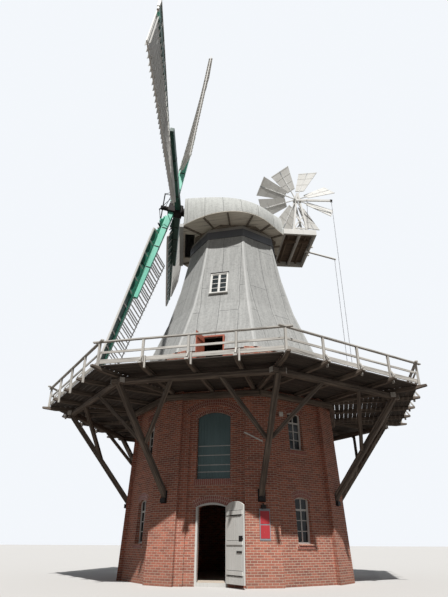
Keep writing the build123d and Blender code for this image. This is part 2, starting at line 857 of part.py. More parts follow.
bars = [bar(level, -lead_width, drive_width if level in drive_levels else 0)
        for level in bar_levels]
laths = [lath(drive_levels, 1, drive_width), lath(drive_levels, 1, lath_start),
         lath(bar_levels, -1, lead_width)]
with BuildPart() as sail_frame:
    with BuildSketch(Plane.XY.offset(poll_size / 2 + 2 * whip_depth)):
        with Locations((whip_front, 0)):
            Rectangle(whip_depth, whip_width)
    with BuildSketch(Plane.XY.offset(sail_length)):
        with Locations((whip_front - whip_depth / 4, 0)):
            Rectangle(whip_depth / 2, whip_tip_width)
    loft(ruled=True)
    for timber in bars + laths:
        add(timber)
for k, arm_place in enumerate(arm_places):
    write(sail_frame, f"sail_frame_{k + 1}", spin_place * arm_place)

shutter_slot = (bar_pitch - bar_size) / shutters_in_bay
shutter_long = drive_width - bar_size - lath_start - 2 * joint_gap


def shutter(level):
    middle = spot(level, 1, lath_start + joint_gap + shutter_long / 2)
    across = spot(level, 1, 1) - spot(level, 1, 0)
    front = across.cross(Vector(0, 0, 1))
    rise = front * sin(radians(shutter_open)) + Vector(0, 0, cos(radians(shutter_open)))
    with BuildPart() as slat:
        with BuildSketch(Plane(origin=middle, x_dir=across, z_dir=across.cross(rise))):
            Rectangle(shutter_long, shutter_slot - 2 * joint_gap)
        extrude(amount=shutter_thickness / 2, both=True)
    return slat.part


def board(level):
    start = cheek_width + joint_gap
    length = lead_width - bar_size - start - joint_gap
    middle = spot(level, -1, start + length / 2)
    across = spot(level, -1, 1) - spot(level, -1, 0)
    with BuildPart() as panel:
        with BuildSketch(Plane(origin=middle, x_dir=across, z_dir=across.cross(Vector(0, 0, 1)))):
            Rectangle(length, bar_pitch - bar_size - 2 * joint_gap)
        extrude(amount=shutter_thickness / 2, both=True)
    return panel.part


shutters = [shutter(level + bar_size / 2 + shutter_slot * (step + 0.5))
            for level in drive_levels[:-1] for step in range(shutters_in_bay)]
boards = [board(level + bar_pitch / 2) for level in bar_levels[:-1]]


def on_arms(pieces, name):
    with BuildPart() as group:
        for arm_place in arm_places:
            for item in pieces:
                add(item.moved(arm_place))
    write(group, name, spin_place)


on_arms(shutters, "sail_shutters")
on_arms(boards, "leading_boards")

with BuildPart() as cheek:
    with BuildSketch(Plane.YZ.offset(stock_depth / 2 - cheek_thickness)):
        with Locations((-(stock_width / 2 + cheek_width) / 2, (cheek_start + stock_reach) / 2)):
            Rectangle(cheek_width - stock_width / 2, stock_reach - cheek_start)
        for level in bar_levels:
            if level + bar_pitch < stock_reach:
                with Locations((-cheek_width - bar_pitch / 4, level + bar_pitch / 2)):
                    Circle(bar_pitch / 4 + cheek_scallop, mode=Mode.SUBTRACT)
    extrude(amount=cheek_thickness)
on_arms([cheek.part], "stock_cheeks")

with BuildPart() as spider:
    with BuildSketch(Plane.YZ.offset(poll_half)):
        Circle(140)
    extrude(amount=500)
    with BuildSketch(Plane.YZ.offset(poll_half + 360)):
        with PolarLocations(spider_reach / 2, 4, 45):
            Rectangle(spider_reach, 60)
    extrude(amount=60)
write(spider, "striking_spider", spin_place)


# Fan wheel; drawn round its hub with the axle towards +Y

fan_centre = (fan_reach, -fan_side, fan_level)
fan_place = cap_place * Location(fan_centre)

with BuildPart() as fan_hub:
    with BuildSketch(Plane.XZ.offset(-fan_hub_length / 2)):
        Circle(fan_hub_radius)
    extrude(amount=fan_hub_length)
    with BuildSketch(Plane.XZ.offset(-fan_post_gap - fan_post_size)):
        Circle(40)
    extrude(amount=2 * (fan_post_gap + fan_post_size))
write(fan_hub, "fan_hub", fan_place)

blade_turn = radians(blade_pitch)
with BuildPart() as fan_blade:
    with BuildSketch(Plane(origin=(0, 0, 0), x_dir=(0, 0, 1),
                           z_dir=(sin(blade_turn), cos(blade_turn), 0))):
        Polygon((blade_root, -blade_root_width / 2), (fan_radius, -blade_tip_width / 2),
                (fan_radius, blade_tip_width / 2), (blade_root, blade_root_width / 2), align=None)
    extrude(amount=blade_thickness / 2, both=True)
    with BuildSketch(Plane.XY.offset(fan_hub_radius * 0.9)):
        Rectangle(60, 60)
    extrude(amount=fan_radius * 0.8)

with BuildPart() as fan_wheel:
    for step in range(fan_blades):
        add(fan_blade.part.moved(Location((0, 0, 0), (0, 360 / fan_blades * (step + 0.5), 0))))
    with BuildSketch(Plane.XZ.offset(-fan_hub_length / 2)):
        Circle(fan_hub_radius + joint_gap)
    extrude(amount=fan_hub_length, mode=Mode.SUBTRACT)
write(fan_wheel, "fan_blades", fan_place)

stage_top = eave_level + sheer_depth + stage_board
with BuildPart() as fan_posts:
    for side in (1, -1):
        post_y = side * (fan_post_gap + fan_post_size / 2)
        with BuildSketch(Plane.XZ.offset(-post_y - fan_post_size / 2)):
            for lean in (1, -1):
                with BuildLine():
                    Polyline((lean * fan_post_spread - 55, stage_top - fan_level),
                             (lean * fan_post_spread + 55, stage_top - fan_level),
                             (lean * 20 + 55, 130), (lean * 20 - 55, 130), close=True)
                make_face()
        extrude(amount=fan_post_size)
        with BuildSketch(Plane.XZ.offset(-post_y - fan_post_size / 2)):
            Circle(40 + joint_gap)
        extrude(amount=fan_post_size, mode=Mode.SUBTRACT)
write(fan_posts, "fan_posts", fan_place)


# Striking chain, a fixed loop that hangs from the tip of a lever and from a pole under the stage

def pole_height(reach):
    return pole_level + (reach - pole_start) * pole_slope


with BuildPart() as striking_pole:
    with BuildSketch(Plane(origin=(pole_start, striking_side, pole_level), x_dir=(0, 1, 0),
                           z_dir=(-1, 0, -pole_slope))):
        Circle(pole_radius)
    extrude(amount=(pole_start - pole_tip) * hypot(1, pole_slope))
    split(bisect_by=Plane.XY.offset(eave_level), keep=Keep.BOTTOM)
write(striking_pole, "striking_pole", cap_place)

lever_face = fan_post_gap + fan_post_size - fan_side
with BuildPart() as striking_lever:
    with BuildSketch(Plane.XZ.offset(-lever_face - lever_width)):
        Polygon((lever_start, lever_low[0]), (lever_tip, lever_low[1]),
                (lever_tip, lever_low[1] + lever_depth), (lever_start, lever_low[0] + lever_depth),
                align=None)
    extrude(amount=lever_width)
write(striking_lever, "striking_lever", cap_place)

outer_run = chain_reach - chain_gap / 2
inner_run = chain_reach + chain_gap / 2
outer_top = lever_low[0] + (lever_low[1] - lever_low[0]) * (outer_run - lever_start) / (lever_tip - lever_start)
with BuildPart() as striking_chain:
    with BuildSketch(Plane.XZ.offset(-striking_side)):
        for reach, top in ((outer_run, outer_top + end_overrun), (inner_run, pole_height(inner_run))):
            with Locations((reach, (chain_low + top) / 2)):
                Rectangle(chain_thickness, top - chain_low)
        with Locations((chain_reach, chain_low + chain_thickness / 2)):
            Rectangle(chain_gap + chain_thickness, chain_thickness)
    extrude(amount=chain_thickness / 2, both=True)
    add(striking_pole.part, mode=Mode.SUBTRACT)
    with BuildSketch(Plane.XZ.offset(-striking_side)):
        Polygon((lever_start, lever_low[0]), (lever_tip, lever_low[1]),
                (lever_tip, lever_low[1] + 2 * end_overrun), (lever_start, lever_low[0] + 2 * end_overrun),
                align=None)
    extrude(amount=lever_width, both=True, mode=Mode.SUBTRACT)
write(striking_chain, "striking_chain", cap_place)
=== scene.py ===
from math import asin, atan2, cos, pi, radians, sin, sqrt, tan
import random

import bpy
from mathutils import Matrix, Vector, noise


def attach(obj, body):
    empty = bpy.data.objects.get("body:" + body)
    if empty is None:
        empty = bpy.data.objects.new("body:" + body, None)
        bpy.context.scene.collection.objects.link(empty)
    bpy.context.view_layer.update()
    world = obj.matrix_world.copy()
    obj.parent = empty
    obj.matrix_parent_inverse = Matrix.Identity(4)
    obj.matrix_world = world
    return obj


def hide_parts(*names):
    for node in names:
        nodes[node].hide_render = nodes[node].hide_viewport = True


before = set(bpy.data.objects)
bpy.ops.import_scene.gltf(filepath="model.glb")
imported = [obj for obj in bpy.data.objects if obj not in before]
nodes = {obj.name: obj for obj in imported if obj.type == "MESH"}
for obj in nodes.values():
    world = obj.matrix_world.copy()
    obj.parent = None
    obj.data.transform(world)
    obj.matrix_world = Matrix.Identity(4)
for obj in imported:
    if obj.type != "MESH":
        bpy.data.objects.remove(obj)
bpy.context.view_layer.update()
seed = random.Random(7)
noise.seed_set(7)  # the clock would seed it otherwise
print("stage: frame loaded")

# Camera at the photograph's angle

cameraView = {
    "place": (4.691, -23.400, 1.346),
    "yaw": -12.743, "pitch": 27.516, "roll": 0.217,
    "focalPixels": 471.19, "imageHeight": 597, "sensor": 36.0,
}


def addCamera():
    view = cameraView
    yaw, pitch, roll = (radians(view[key]) for key in ("yaw", "pitch", "roll"))
    forward = Vector((sin(yaw) * cos(pitch), cos(yaw) * cos(pitch), sin(pitch)))
    level = Vector((cos(yaw), -sin(yaw), 0))
    upright = level.cross(forward)
    right = level * cos(roll) + upright * sin(roll)
    up = upright * cos(roll) - level * sin(roll)
    data = bpy.data.cameras.new("photoCamera")
    data.sensor_width = view["sensor"]
    data.lens = view["focalPixels"] * view["sensor"] / view["imageHeight"]
    data.clip_end = 500
    camera = bpy.data.objects.new("photoCamera", data)
    axes = Matrix((right, up, -forward)).transposed().to_4x4()
    camera.matrix_world = Matrix.Translation(view["place"]) @ axes
    bpy.context.scene.collection.objects.link(camera)
    bpy.context.scene.camera = camera


addCamera()

# Ways of modelling that several pieces share


def deselectAll():
    bpy.ops.object.select_all(action="DESELECT")


def editMesh():
    bpy.ops.object.mode_set(mode="EDIT")
    bpy.ops.mesh.select_mode(type="EDGE")
    bpy.ops.mesh.select_all(action="SELECT")


def doneEditing():
    bpy.ops.object.mode_set(mode="OBJECT")


def activate(piece):
    deselectAll()
    piece.select_set(True)
    bpy.context.view_layer.objects.active = piece


def addCube(size):
    deselectAll()
    bpy.ops.mesh.primitive_cube_add(size=1)
    cube = bpy.context.object
    cube.scale = size
    bpy.ops.object.transform_apply(location=False, rotation=False, scale=True)
    return cube


def storeGrain(piece):  # a pattern's own coordinates, kept from before the piece is placed
    mesh = piece.data
    grain = mesh.attributes.new("grain", "FLOAT_VECTOR", "POINT")
    shift = Vector((seed.uniform(0, 40), seed.uniform(0, 40), seed.uniform(0, 40)))
    for vertex, entry in zip(mesh.vertices, grain.data):
        entry.vector = vertex.co + shift


def splitLong(piece, cuts):  # cuts the edges that run along X
    mesh = piece.data
    if cuts < 1:
        return
    activate(piece)
    editMesh()
    bpy.ops.mesh.select_all(action="DESELECT")
    doneEditing()
    longest = max(abs(v.co.x) for v in mesh.vertices)
    for edge in mesh.edges:
        a, b = (mesh.vertices[i].co for i in edge.vertices)
        edge.select = abs(a.x - b.x) > longest
    bpy.ops.object.mode_set(mode="EDIT")
    bpy.ops.mesh.subdivide(number_cuts=cuts)
    doneEditing()


def addBeam(length, width, depth, chamfer, cuts=0, wave=0.0):
    beam = addCube((length, width, depth))
    editMesh()
    bpy.ops.mesh.bevel(offset=chamfer, segments=1, affect="EDGES")
    doneEditing()
    splitLong(beam, cuts)
    start = Vector((seed.uniform(0, 90), 0, 0))
    for vertex in beam.data.vertices:
        wander = noise.noise_vector(start + Vector((vertex.co.x * 1.3, 0, 0)))
        local = noise.noise_vector(start + vertex.co * 4)
        vertex.co.y *= 1 - wave * (1 + wander.y + 0.5 * local.y) / width
        vertex.co.z *= 1 - wave * (1 + wander.z + 0.5 * local.z) / depth
    storeGrain(beam)
    return beam


def between(start, end, up=(0, 0, 1)):
    start, end = Vector(start), Vector(end)
    along = (end - start).normalized()
    across = Vector(up).cross(along).normalized()
    axes = Matrix((along, across, along.cross(across))).transposed().to_4x4()
    return Matrix.Translation((start + end) / 2) @ axes


def put(piece, place):
    piece.data.transform(place)
    return piece


def at(x, y, z):
    return Matrix.Translation((x, y, z))


def rotation(degrees, axis="Z"):
    return Matrix.Rotation(radians(degrees), 4, axis)


def turned(piece, degrees):  # round the tower's axis
    return put(piece, rotation(degrees))


def copyOf(piece, place):
    twin = piece.copy()
    twin.data = piece.data.copy()
    bpy.context.scene.collection.objects.link(twin)
    twin.data.transform(place)
    grain = twin.data.attributes.get("grain")
    if grain:
        shift = Vector((seed.uniform(0, 40), 0, seed.uniform(0, 40)))
        for entry in grain.data:
            entry.vector = entry.vector + shift
    return twin


def aroundTower(pieces, turns):
    spread = [copyOf(piece, rotation(turn)) for turn in turns for piece in pieces]
    for piece in pieces:
        bpy.data.objects.remove(piece)
    return spread


def finished(pieces, name, body, material, *replaced, slot):
    deselectAll()
    for piece in pieces:
        piece.select_set(True)
    bpy.context.view_layer.objects.active = pieces[0]
    if len(pieces) > 1:
        bpy.ops.object.join()
    whole = bpy.context.object
    whole.name = name
    whole.data.name = name
    whole.data.materials.clear()
    whole.data.materials.append(material)
    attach(whole, body)
    if replaced:
        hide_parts(*replaced)


# Shader building


def addNode(tree, kind, links=None, **settings):
    made = tree.nodes.new("ShaderNode" + kind)
    for key, value in settings.items():
        setattr(made, key, value)
    for socket, source in (links or {}).items():
        if isinstance(source, bpy.types.NodeSocket):
            tree.links.new(source, made.inputs[socket])
        else:
            made.inputs[socket].default_value = source
    return made


def maths(tree, operation, a, b):
    return addNode(tree, "Math", {0: a, 1: b}, operation=operation).outputs[0]


def times(tree, a, b):
    return maths(tree, "MULTIPLY", a, b)


def mixColours(tree, factor, a, b):
    return addNode(tree, "Mix", {0: factor, 6: a, 7: b}, data_type="RGBA").outputs[2]


def ramp(tree, value, low, high):  # 0 at low, 1 at high
    return addNode(tree, "MapRange", {0: value, 1: low, 2: high}, clamp=True).outputs[0]


def noiseAt(tree, vector, scale, detail, rough):
    made = addNode(tree, "TexNoise", {"Vector": vector, "Scale": scale, "Detail": detail, "Roughness": rough})
    return made.outputs[0]


def stretched(tree, vector, factors):
    return addNode(tree, "VectorMath", {0: vector, 1: factors}, operation="MULTIPLY").outputs[0]


def newGroup(name, vectors, colours=(), values=(), gives=("Colour", "Height", "Roughness")):
    tree = bpy.data.node_groups.new(name, "ShaderNodeTree")
    for labels, kind in ((vectors, "Vector"), (colours, "Color"), (values, "Float")):
        for label in labels:
            tree.interface.new_socket(label, in_out="INPUT", socket_type="NodeSocket" + kind)
    kinds = {"Flat": "Vector", "Colour": "Color", "Height": "Float", "Roughness": "Float"}
    for label in gives:
        tree.interface.new_socket(label, in_out="OUTPUT", socket_type="NodeSocket" + kinds[label])
    return tree, tree.nodes.new("NodeGroupInput").outputs


def groupDone(tree, *results):  # in the order of the group's outputs
    leave = tree.nodes.new("NodeGroupOutput")
    for source, socket in zip(results, leave.inputs):
        tree.links.new(source, socket)
    return tree


def rgb(r, g, b):
    return (r, g, b, 1.0)


def faceCoordsGroup():  # distance along a face and height on it, whichever way the face looks
    tree, given = newGroup("faceCoords", ("Position", "Facing"), gives=("Flat",))
    facing = addNode(tree, "SeparateXYZ", {0: given["Facing"]}).outputs
    level = addNode(tree, "CombineXYZ", {0: times(tree, facing[1], -1.0), 1: facing[0]}).outputs[0]
    unit = addNode(tree, "VectorMath", {0: level}, operation="NORMALIZE").outputs[0]
    along = addNode(tree, "VectorMath", {0: unit, 1: given["Position"]},
                    operation="DOT_PRODUCT").outputs["Value"]
    place = addNode(tree, "SeparateXYZ", {0: given["Position"]}).outputs
    return groupDone(tree, addNode(tree, "CombineXYZ", {0: along, 1: place[2]}).outputs[0])


brickBond = {"length": 0.25, "height": 0.0833, "joint": 0.0072, "blur": 0.25}
feltSeams = {"length": 4.3, "height": 0.98, "joint": 0.017, "blur": 0.6, "stagger": 0.37}


def blockPattern(tree, vector, length, height, joint, blur, stagger=0.5):  # rows of blocks with joints
    sizes = {"Scale": 1.0, "Mortar Size": joint, "Mortar Smooth": blur, "Bias": 0.0, "Brick Width": length,
             "Row Height": height}
    tones = {"Color1": rgb(0, 0, 0), "Color2": rgb(1, 1, 1), "Mortar": rgb(0.5, 0.5, 0.5)}
    return addNode(tree, "TexBrick", {"Vector": vector, **tones, **sizes}, offset=stagger).outputs


def brickGroup():
    tree, given = newGroup("brickwork", ("Flat", "Position"), ("Brick", "Burnt brick", "Mortar"), ("Grime",))
    courses = blockPattern(tree, given["Flat"], **brickBond)
    firing = mixColours(tree, courses[0], given["Brick"], given["Burnt brick"])
    speckle = noiseAt(tree, given["Position"], 38.0, 6.0, 0.7)
    patches = noiseAt(tree, given["Position"], 0.7, 5.0, 0.6)
    body = mixColours(tree, ramp(tree, speckle, 0.35, 0.8), firing, rgb(0.30, 0.17, 0.13))
    body = mixColours(tree, times(tree, ramp(tree, patches, 0.45, 0.75), 0.35), body, rgb(0.10, 0.045, 0.04))
    joint = mixColours(tree, ramp(tree, speckle, 0.3, 0.8), given["Mortar"], rgb(0.36, 0.30, 0.25))
    whole = mixColours(tree, courses[1], body, joint)
    height = addNode(tree, "SeparateXYZ", {0: given["Position"]}).outputs[2]
    damp = times(tree, ramp(tree, maths(tree, "ADD", height, patches), 1.3, 0.3), 0.35)
    whole = mixColours(tree, times(tree, damp, given["Grime"]), whole, rgb(0.16, 0.12, 0.09))
    relief = maths(tree, "SUBTRACT", times(tree, speckle, 0.35), courses[1])
    return groupDone(tree, whole, relief, maths(tree, "ADD", times(tree, speckle, 0.2), 0.75))


def woodGroup():  # old timber: the grain runs along the vector's X
    tree, given = newGroup("weatheredWood", ("Grain",), ("Light", "Dark"), ("Fineness",))
    fine = addNode(tree, "VectorMath", {0: given["Grain"], "Scale": given["Fineness"]},
                   operation="SCALE").outputs[0]
    streaks = noiseAt(tree, stretched(tree, fine, (0.8, 16.0, 16.0)), 1.0, 7.0, 0.62)
    cracks = noiseAt(tree, stretched(tree, fine, (0.9, 42.0, 42.0)), 1.0, 3.0, 0.5)
    patches = noiseAt(tree, stretched(tree, fine, (0.7, 1.6, 1.6)), 1.0, 3.0, 0.5)
    tone = mixColours(tree, ramp(tree, streaks, 0.34, 0.66), given["Dark"], given["Light"])
    tone = mixColours(tree, times(tree, ramp(tree, patches, 0.4, 0.7), 0.45), tone, given["Dark"])
    split = ramp(tree, cracks, 0.40, 0.33)
    tone = mixColours(tree, times(tree, split, 0.75), tone, rgb(0.02, 0.016, 0.013))
    return groupDone(tree, tone, maths(tree, "SUBTRACT", streaks, split),
                     maths(tree, "ADD", times(tree, streaks, 0.2), 0.72))


def paintGroup():  # paint on wood with stains and worn places
    tree, given = newGroup("wornPaint", ("Position",), ("Paint", "Stain", "Bare"), ("Wear",))
    clouds = noiseAt(tree, stretched(tree, given["Position"], (1.0, 1.0, 0.35)), 1.6, 6.0, 0.6)
    chips = noiseAt(tree, given["Position"], 26.0, 5.0, 0.65)
    runs = noiseAt(tree, stretched(tree, given["Position"], (22.0, 22.0, 1.2)), 1.0, 4.0, 0.5)
    tone = mixColours(tree, times(tree, ramp(tree, clouds, 0.42, 0.75), 0.5), given["Paint"], given["Stain"])
    tone = mixColours(tree, times(tree, ramp(tree, runs, 0.52, 0.75), 0.4), tone, given["Stain"])
    level = maths(tree, "SUBTRACT", 0.78, times(tree, given["Wear"], 0.25))
    bare = maths(tree, "GREATER_THAN", chips, level)
    tone = mixColours(tree, bare, tone, given["Bare"])
    return groupDone(tree, tone, maths(tree, "SUBTRACT", times(tree, clouds, 0.3), bare),
                     maths(tree, "ADD", times(tree, clouds, 0.25), 0.4))


def feltGroup():  # mineral felt in long strips with lapped seams
    tree, given = newGroup("feltStrips", ("Flat", "Position"), ("Pale", "Dull", "Seam"))
    wobble = noiseAt(tree, given["Position"], 0.9, 3.0, 0.5)
    flat = addNode(tree, "SeparateXYZ", {0: given["Flat"]}).outputs
    shifted = maths(tree, "ADD", flat[0], times(tree, wobble, 0.12))
    across = addNode(tree, "CombineXYZ", {0: flat[1], 1: shifted}).outputs[0]
    strips = blockPattern(tree, across, **feltSeams)
    grit = noiseAt(tree, given["Position"], 48.0, 4.0, 0.7)
    coarse = noiseAt(tree, given["Position"], 9.0, 5.0, 0.7)
    runs = noiseAt(tree, stretched(tree, given["Flat"], (7.0, 0.5, 1.0)), 1.0, 4.0, 0.6)
    tone = mixColours(tree, times(tree, strips[0], 0.4), given["Pale"], given["Dull"])
    tone = mixColours(tree, ramp(tree, runs, 0.38, 0.75), tone, given["Dull"])
    tone = mixColours(tree, times(tree, ramp(tree, coarse, 0.45, 0.75), 0.4), tone, given["Seam"])
    tone = mixColours(tree, times(tree, ramp(tree, grit, 0.5, 0.8), 0.35), tone, rgb(0.62, 0.62, 0.58))
    tone = mixColours(tree, times(tree, strips[1], 0.75), tone, given["Seam"])
    relief = maths(tree, "ADD", times(tree, grit, 0.4), times(tree, strips[1], 0.8))
    return groupDone(tree, tone, relief, maths(tree, "ADD", times(tree, grit, 0.2), 0.78))


faceCoords = faceCoordsGroup()
brickwork = brickGroup()
weatheredWood = woodGroup()
wornPaint = paintGroup()
feltStrips = feltGroup()


def blankMaterial(name):
    material = bpy.data.materials.new(name)
    material.use_nodes = True
    tree = material.node_tree
    return material, tree, tree.nodes["Principled BSDF"]


def useGroup(tree, group, links):
    return addNode(tree, "Group", links, node_tree=group).outputs


def addBump(tree, shader, height, strength, distance):
    bump = addNode(tree, "Bump", {"Strength": strength, "Distance": distance, "Height": height})
    tree.links.new(bump.outputs[0], shader.inputs["Normal"])


def shadeWith(tree, shader, effect, strength, distance):
    tree.links.new(effect["Colour"], shader.inputs["Base Color"])
    tree.links.new(effect["Roughness"], shader.inputs["Roughness"])
    addBump(tree, shader, effect["Height"], strength, distance)


def onFace(tree, place):  # a face's own two coordinates
    return useGroup(tree, faceCoords, {"Position": place["Object"], "Facing": place["Normal"]})["Flat"]


def brickMaterial(name, brick, burnt, mortar):
    material, tree, shader = blankMaterial(name)
    place = addNode(tree, "TexCoord").outputs
    effect = useGroup(tree, brickwork, {"Flat": onFace(tree, place), "Position": place["Object"],
                                        "Brick": rgb(*brick), "Burnt brick": rgb(*burnt),
                                        "Mortar": rgb(*mortar), "Grime": 1.0})
    shadeWith(tree, shader, effect, 0.6, 0.006)
    return material


def woodMaterial(name, light, dark, fineness=1.0, own=True):
    material, tree, shader = blankMaterial(name)
    if own:
        vector = addNode(tree, "Attribute", attribute_name="grain").outputs["Vector"]
    else:  # a solid from the frame has no grain of its own
        place = addNode(tree, "TexCoord").outputs
        vector = addNode(tree, "Mapping", {"Vector": place["Object"], "Rotation": (1, 0, 0)}).outputs[0]
    effect = useGroup(tree, weatheredWood, {"Grain": vector, "Light": rgb(*light), "Dark": rgb(*dark),
                                            "Fineness": fineness})
    shadeWith(tree, shader, effect, 0.5, 0.006)
    return material


def paintMaterial(name, paint, stain, bare, wear):
    material, tree, shader = blankMaterial(name)
    place = addNode(tree, "TexCoord").outputs
    effect = useGroup(tree, wornPaint, {"Position": place["Object"], "Paint": rgb(*paint),
                                        "Stain": rgb(*stain), "Bare": rgb(*bare), "Wear": wear})
    shadeWith(tree, shader, effect, 0.25, 0.003)
    return material


def feltMaterial(name, pale, dull, seam, turn=None):
    material, tree, shader = blankMaterial(name)
    place = addNode(tree, "TexCoord").outputs
    if turn is None:
        flat = onFace(tree, place)
    else:  # the strips follow the cap, whichever way the face looks
        along = addNode(tree, "Mapping", {"Vector": place["Object"], "Rotation": (0, 0, -turn)}).outputs[0]
        parts = addNode(tree, "SeparateXYZ", {0: along}).outputs
        flat = addNode(tree, "CombineXYZ", {0: parts[0], 1: parts[2]}).outputs[0]
    effect = useGroup(tree, feltStrips, {"Flat": flat, "Position": place["Object"], "Pale": rgb(*pale),
                                         "Dull": rgb(*dull), "Seam": rgb(*seam)})
    shadeWith(tree, shader, effect, 0.45, 0.004)
    return material


def ironMaterial(name, colour, rust, metallic):
    material, tree, shader = blankMaterial(name)
    place = addNode(tree, "TexCoord").outputs
    spots = noiseAt(tree, place["Object"], 14.0, 5.0, 0.65)
    tone = mixColours(tree, ramp(tree, spots, 0.5, 0.7), rgb(*colour), rgb(*rust))
    tree.links.new(tone, shader.inputs["Base Color"])
    tree.links.new(ramp(tree, spots, -0.4, 1.0), shader.inputs["Roughness"])
    shader.inputs["Specular IOR Level"].default_value = 0.25
    shader.inputs["Metallic"].default_value = metallic
    addBump(tree, shader, spots, 0.2, 0.002)
    return material


def glassMaterial():
    material, tree, shader = blankMaterial("oldGlass")
    place = addNode(tree, "TexCoord").outputs
    ripple = noiseAt(tree, place["Object"], 2.2, 2.0, 0.5)
    tree.links.new(mixColours(tree, ripple, rgb(0.012, 0.016, 0.018), rgb(0.05, 0.06, 0.065)),
                   shader.inputs["Base Color"])
    shader.inputs["Roughness"].default_value = 0.12
    shader.inputs["Specular IOR Level"].default_value = 0.2
    addBump(tree, shader, ripple, 0.08, 0.01)
    return material


capTurn = 197.5

# Brick is given as fresh, burnt and mortar, timber as light and dark, paint as its own colour,
# stained and worn off, felt as pale, dull and seam, and iron as clean and rusty.

redBrick = brickMaterial("redBrick", (0.64, 0.19, 0.115), (0.31, 0.083, 0.055), (0.80, 0.69, 0.55))
# the arch and sill-row bricks are darker than the wall brick: partly a burnt brick tone, partly painted shade
# of the arches
archBrick = paintMaterial("archBrick", (0.30, 0.085, 0.06), (0.14, 0.045, 0.035), (0.36, 0.18, 0.14), 0.9)
mortarPaste = paintMaterial("mortarPaste", (0.74, 0.64, 0.53), (0.50, 0.43, 0.35), (0.4, 0.34, 0.28), 0.5)
strutTimber = woodMaterial("strutTimber", (0.27, 0.22, 0.18), (0.06, 0.045, 0.035))
deckTimber = woodMaterial("deckTimber", (0.12, 0.10, 0.085), (0.03, 0.024, 0.02))
railTimber = woodMaterial("railTimber", (0.70, 0.68, 0.64), (0.36, 0.34, 0.31))
soffitBoards = woodMaterial("soffitBoards", (0.80, 0.76, 0.67), (0.58, 0.54, 0.46), 0.5, own=False)
rafterTimber = woodMaterial("rafterTimber", (0.30, 0.26, 0.21), (0.10, 0.085, 0.07), 0.7, own=False)
floorBoards = woodMaterial("floorBoards", (0.34, 0.25, 0.17), (0.16, 0.11, 0.08), 0.6, own=False)
smockFelt = feltMaterial("smockFelt", (0.44, 0.445, 0.435), (0.31, 0.315, 0.31), (0.065, 0.068, 0.068))
capFelt = feltMaterial("capFelt", (0.58, 0.595, 0.575), (0.43, 0.44, 0.425), (0.10, 0.10, 0.098),
                       turn=radians(capTurn))
bandFelt = paintMaterial("bandFelt", (0.085, 0.09, 0.10), (0.05, 0.052, 0.058), (0.16, 0.16, 0.16), 0.3)
ringFelt = paintMaterial("ringFelt", (0.30, 0.29, 0.27), (0.17, 0.165, 0.155), (0.4, 0.38, 0.34), 0.4)
leafPaint = paintMaterial("leafPaint", (0.78, 0.775, 0.745), (0.58, 0.565, 0.52), (0.4, 0.36, 0.3), 0.35)
whitePaint = paintMaterial("whitePaint", (0.69, 0.685, 0.66), (0.49, 0.475, 0.44), (0.45, 0.38, 0.3), 0.25)
mintPaint = paintMaterial("mintPaint", (0.15, 0.58, 0.43), (0.09, 0.36, 0.27), (0.55, 0.62, 0.52), 0.3)
# dark green paint of the leading boards; on the inner stock and on arms 0 and 2 its near-black tone is partly
# painted shade
darkGreen = paintMaterial("darkGreen", (0.012, 0.075, 0.055), (0.008, 0.035, 0.028), (0.1, 0.12, 0.1), 0.2)
paleStrip = paintMaterial("paleStrip", (0.45, 0.455, 0.445), (0.33, 0.335, 0.325), (0.2, 0.2, 0.2), 0.4)
stageWood = woodMaterial("stageWood", (0.26, 0.19, 0.13), (0.09, 0.06, 0.045))
greyBoard = paintMaterial("greyBoard", (0.30, 0.33, 0.36), (0.2, 0.22, 0.24), (0.4, 0.4, 0.4), 0.3)
signRed = paintMaterial("signRed", (0.50, 0.035, 0.045), (0.33, 0.025, 0.035), (0.5, 0.25, 0.25), 0.3)
lampGlass = paintMaterial("lampGlass", (0.78, 0.78, 0.74), (0.6, 0.6, 0.55), (0.5, 0.5, 0.5), 0.1)
slateTeal = paintMaterial("slateTeal", (0.085, 0.145, 0.15), (0.045, 0.085, 0.09), (0.2, 0.22, 0.2), 0.4)
redPaint = paintMaterial("redPaint", (0.42, 0.12, 0.07), (0.26, 0.07, 0.045), (0.45, 0.33, 0.22), 0.5)
blackIron = ironMaterial("blackIron", (0.012, 0.012, 0.013), (0.06, 0.035, 0.025), 0.3)
chainIron = ironMaterial("chainIron", (0.10, 0.10, 0.11), (0.2, 0.12, 0.08), 0.5)
darkGlass = glassMaterial()
print("stage: materials made")

nodeFinish = {
    redBrick: ("plain_walls", "window_walls", "front_wall_sides", "front_wall_middle",
               "corner_pilasters", "window_sills"),
    floorBoards: ("upper_floors",),
    mortarPaste: ("ground_floor",),
    whitePaint: ("window_frames", "entrance_frame", "smock_windows", "tail_stage", "fan_posts",
                 "fan_hub", "fan_blades", "striking_lever", "sail_frame_1", "sail_frame_2", "sail_frame_3",
                 "sail_frame_4", "sail_shutters", "striking_pole"),
    darkGlass: ("window_glass",),
    slateTeal: ("loading_door",),
    redPaint: ("gallery_door",),
    smockFelt: ("smock_front", "smock_sides", "smock_diagonals"),
    capFelt: ("cap_roof",),
    bandFelt: ("curb_band",),
    ringFelt: ("curb_ring",),
    soffitBoards: ("cap_soffit", "cap_ends"),
    rafterTimber: ("cap_frame",),
    mintPaint: ("outer_stock",),
    # the inner stock's near-black green is partly its paint and partly painted shade
    darkGreen: ("inner_stock",),
    paleStrip: ("cap_front_beam",),
    blackIron: ("poll_end", "windshaft", "striking_spider"),
    chainIron: ("striking_chain",),
}


def finishNodes():
    for material, names in nodeFinish.items():
        for name in names:
            mesh = nodes[name].data
            if not mesh.materials:
                mesh.materials.append(material)
            for index in range(len(mesh.materials)):
                mesh.materials[index] = material


finishNodes()

# Shape of the brick tower and the gallery, in metres

halfFace = radians(22.5)
sideTurns = [45 * k for k in range(8)]
cornerTurns = [22.5 + 45 * k for k in range(8)]
windowTurns = (45, 135, 225, 315)
tower = {"baseFace": 5.123, "batter": 0.045, "panelHalf": 1.32, "pilasterRise": 0.2}


def pilasterFace(height):
    return tower["baseFace"] - tower["batter"] * height


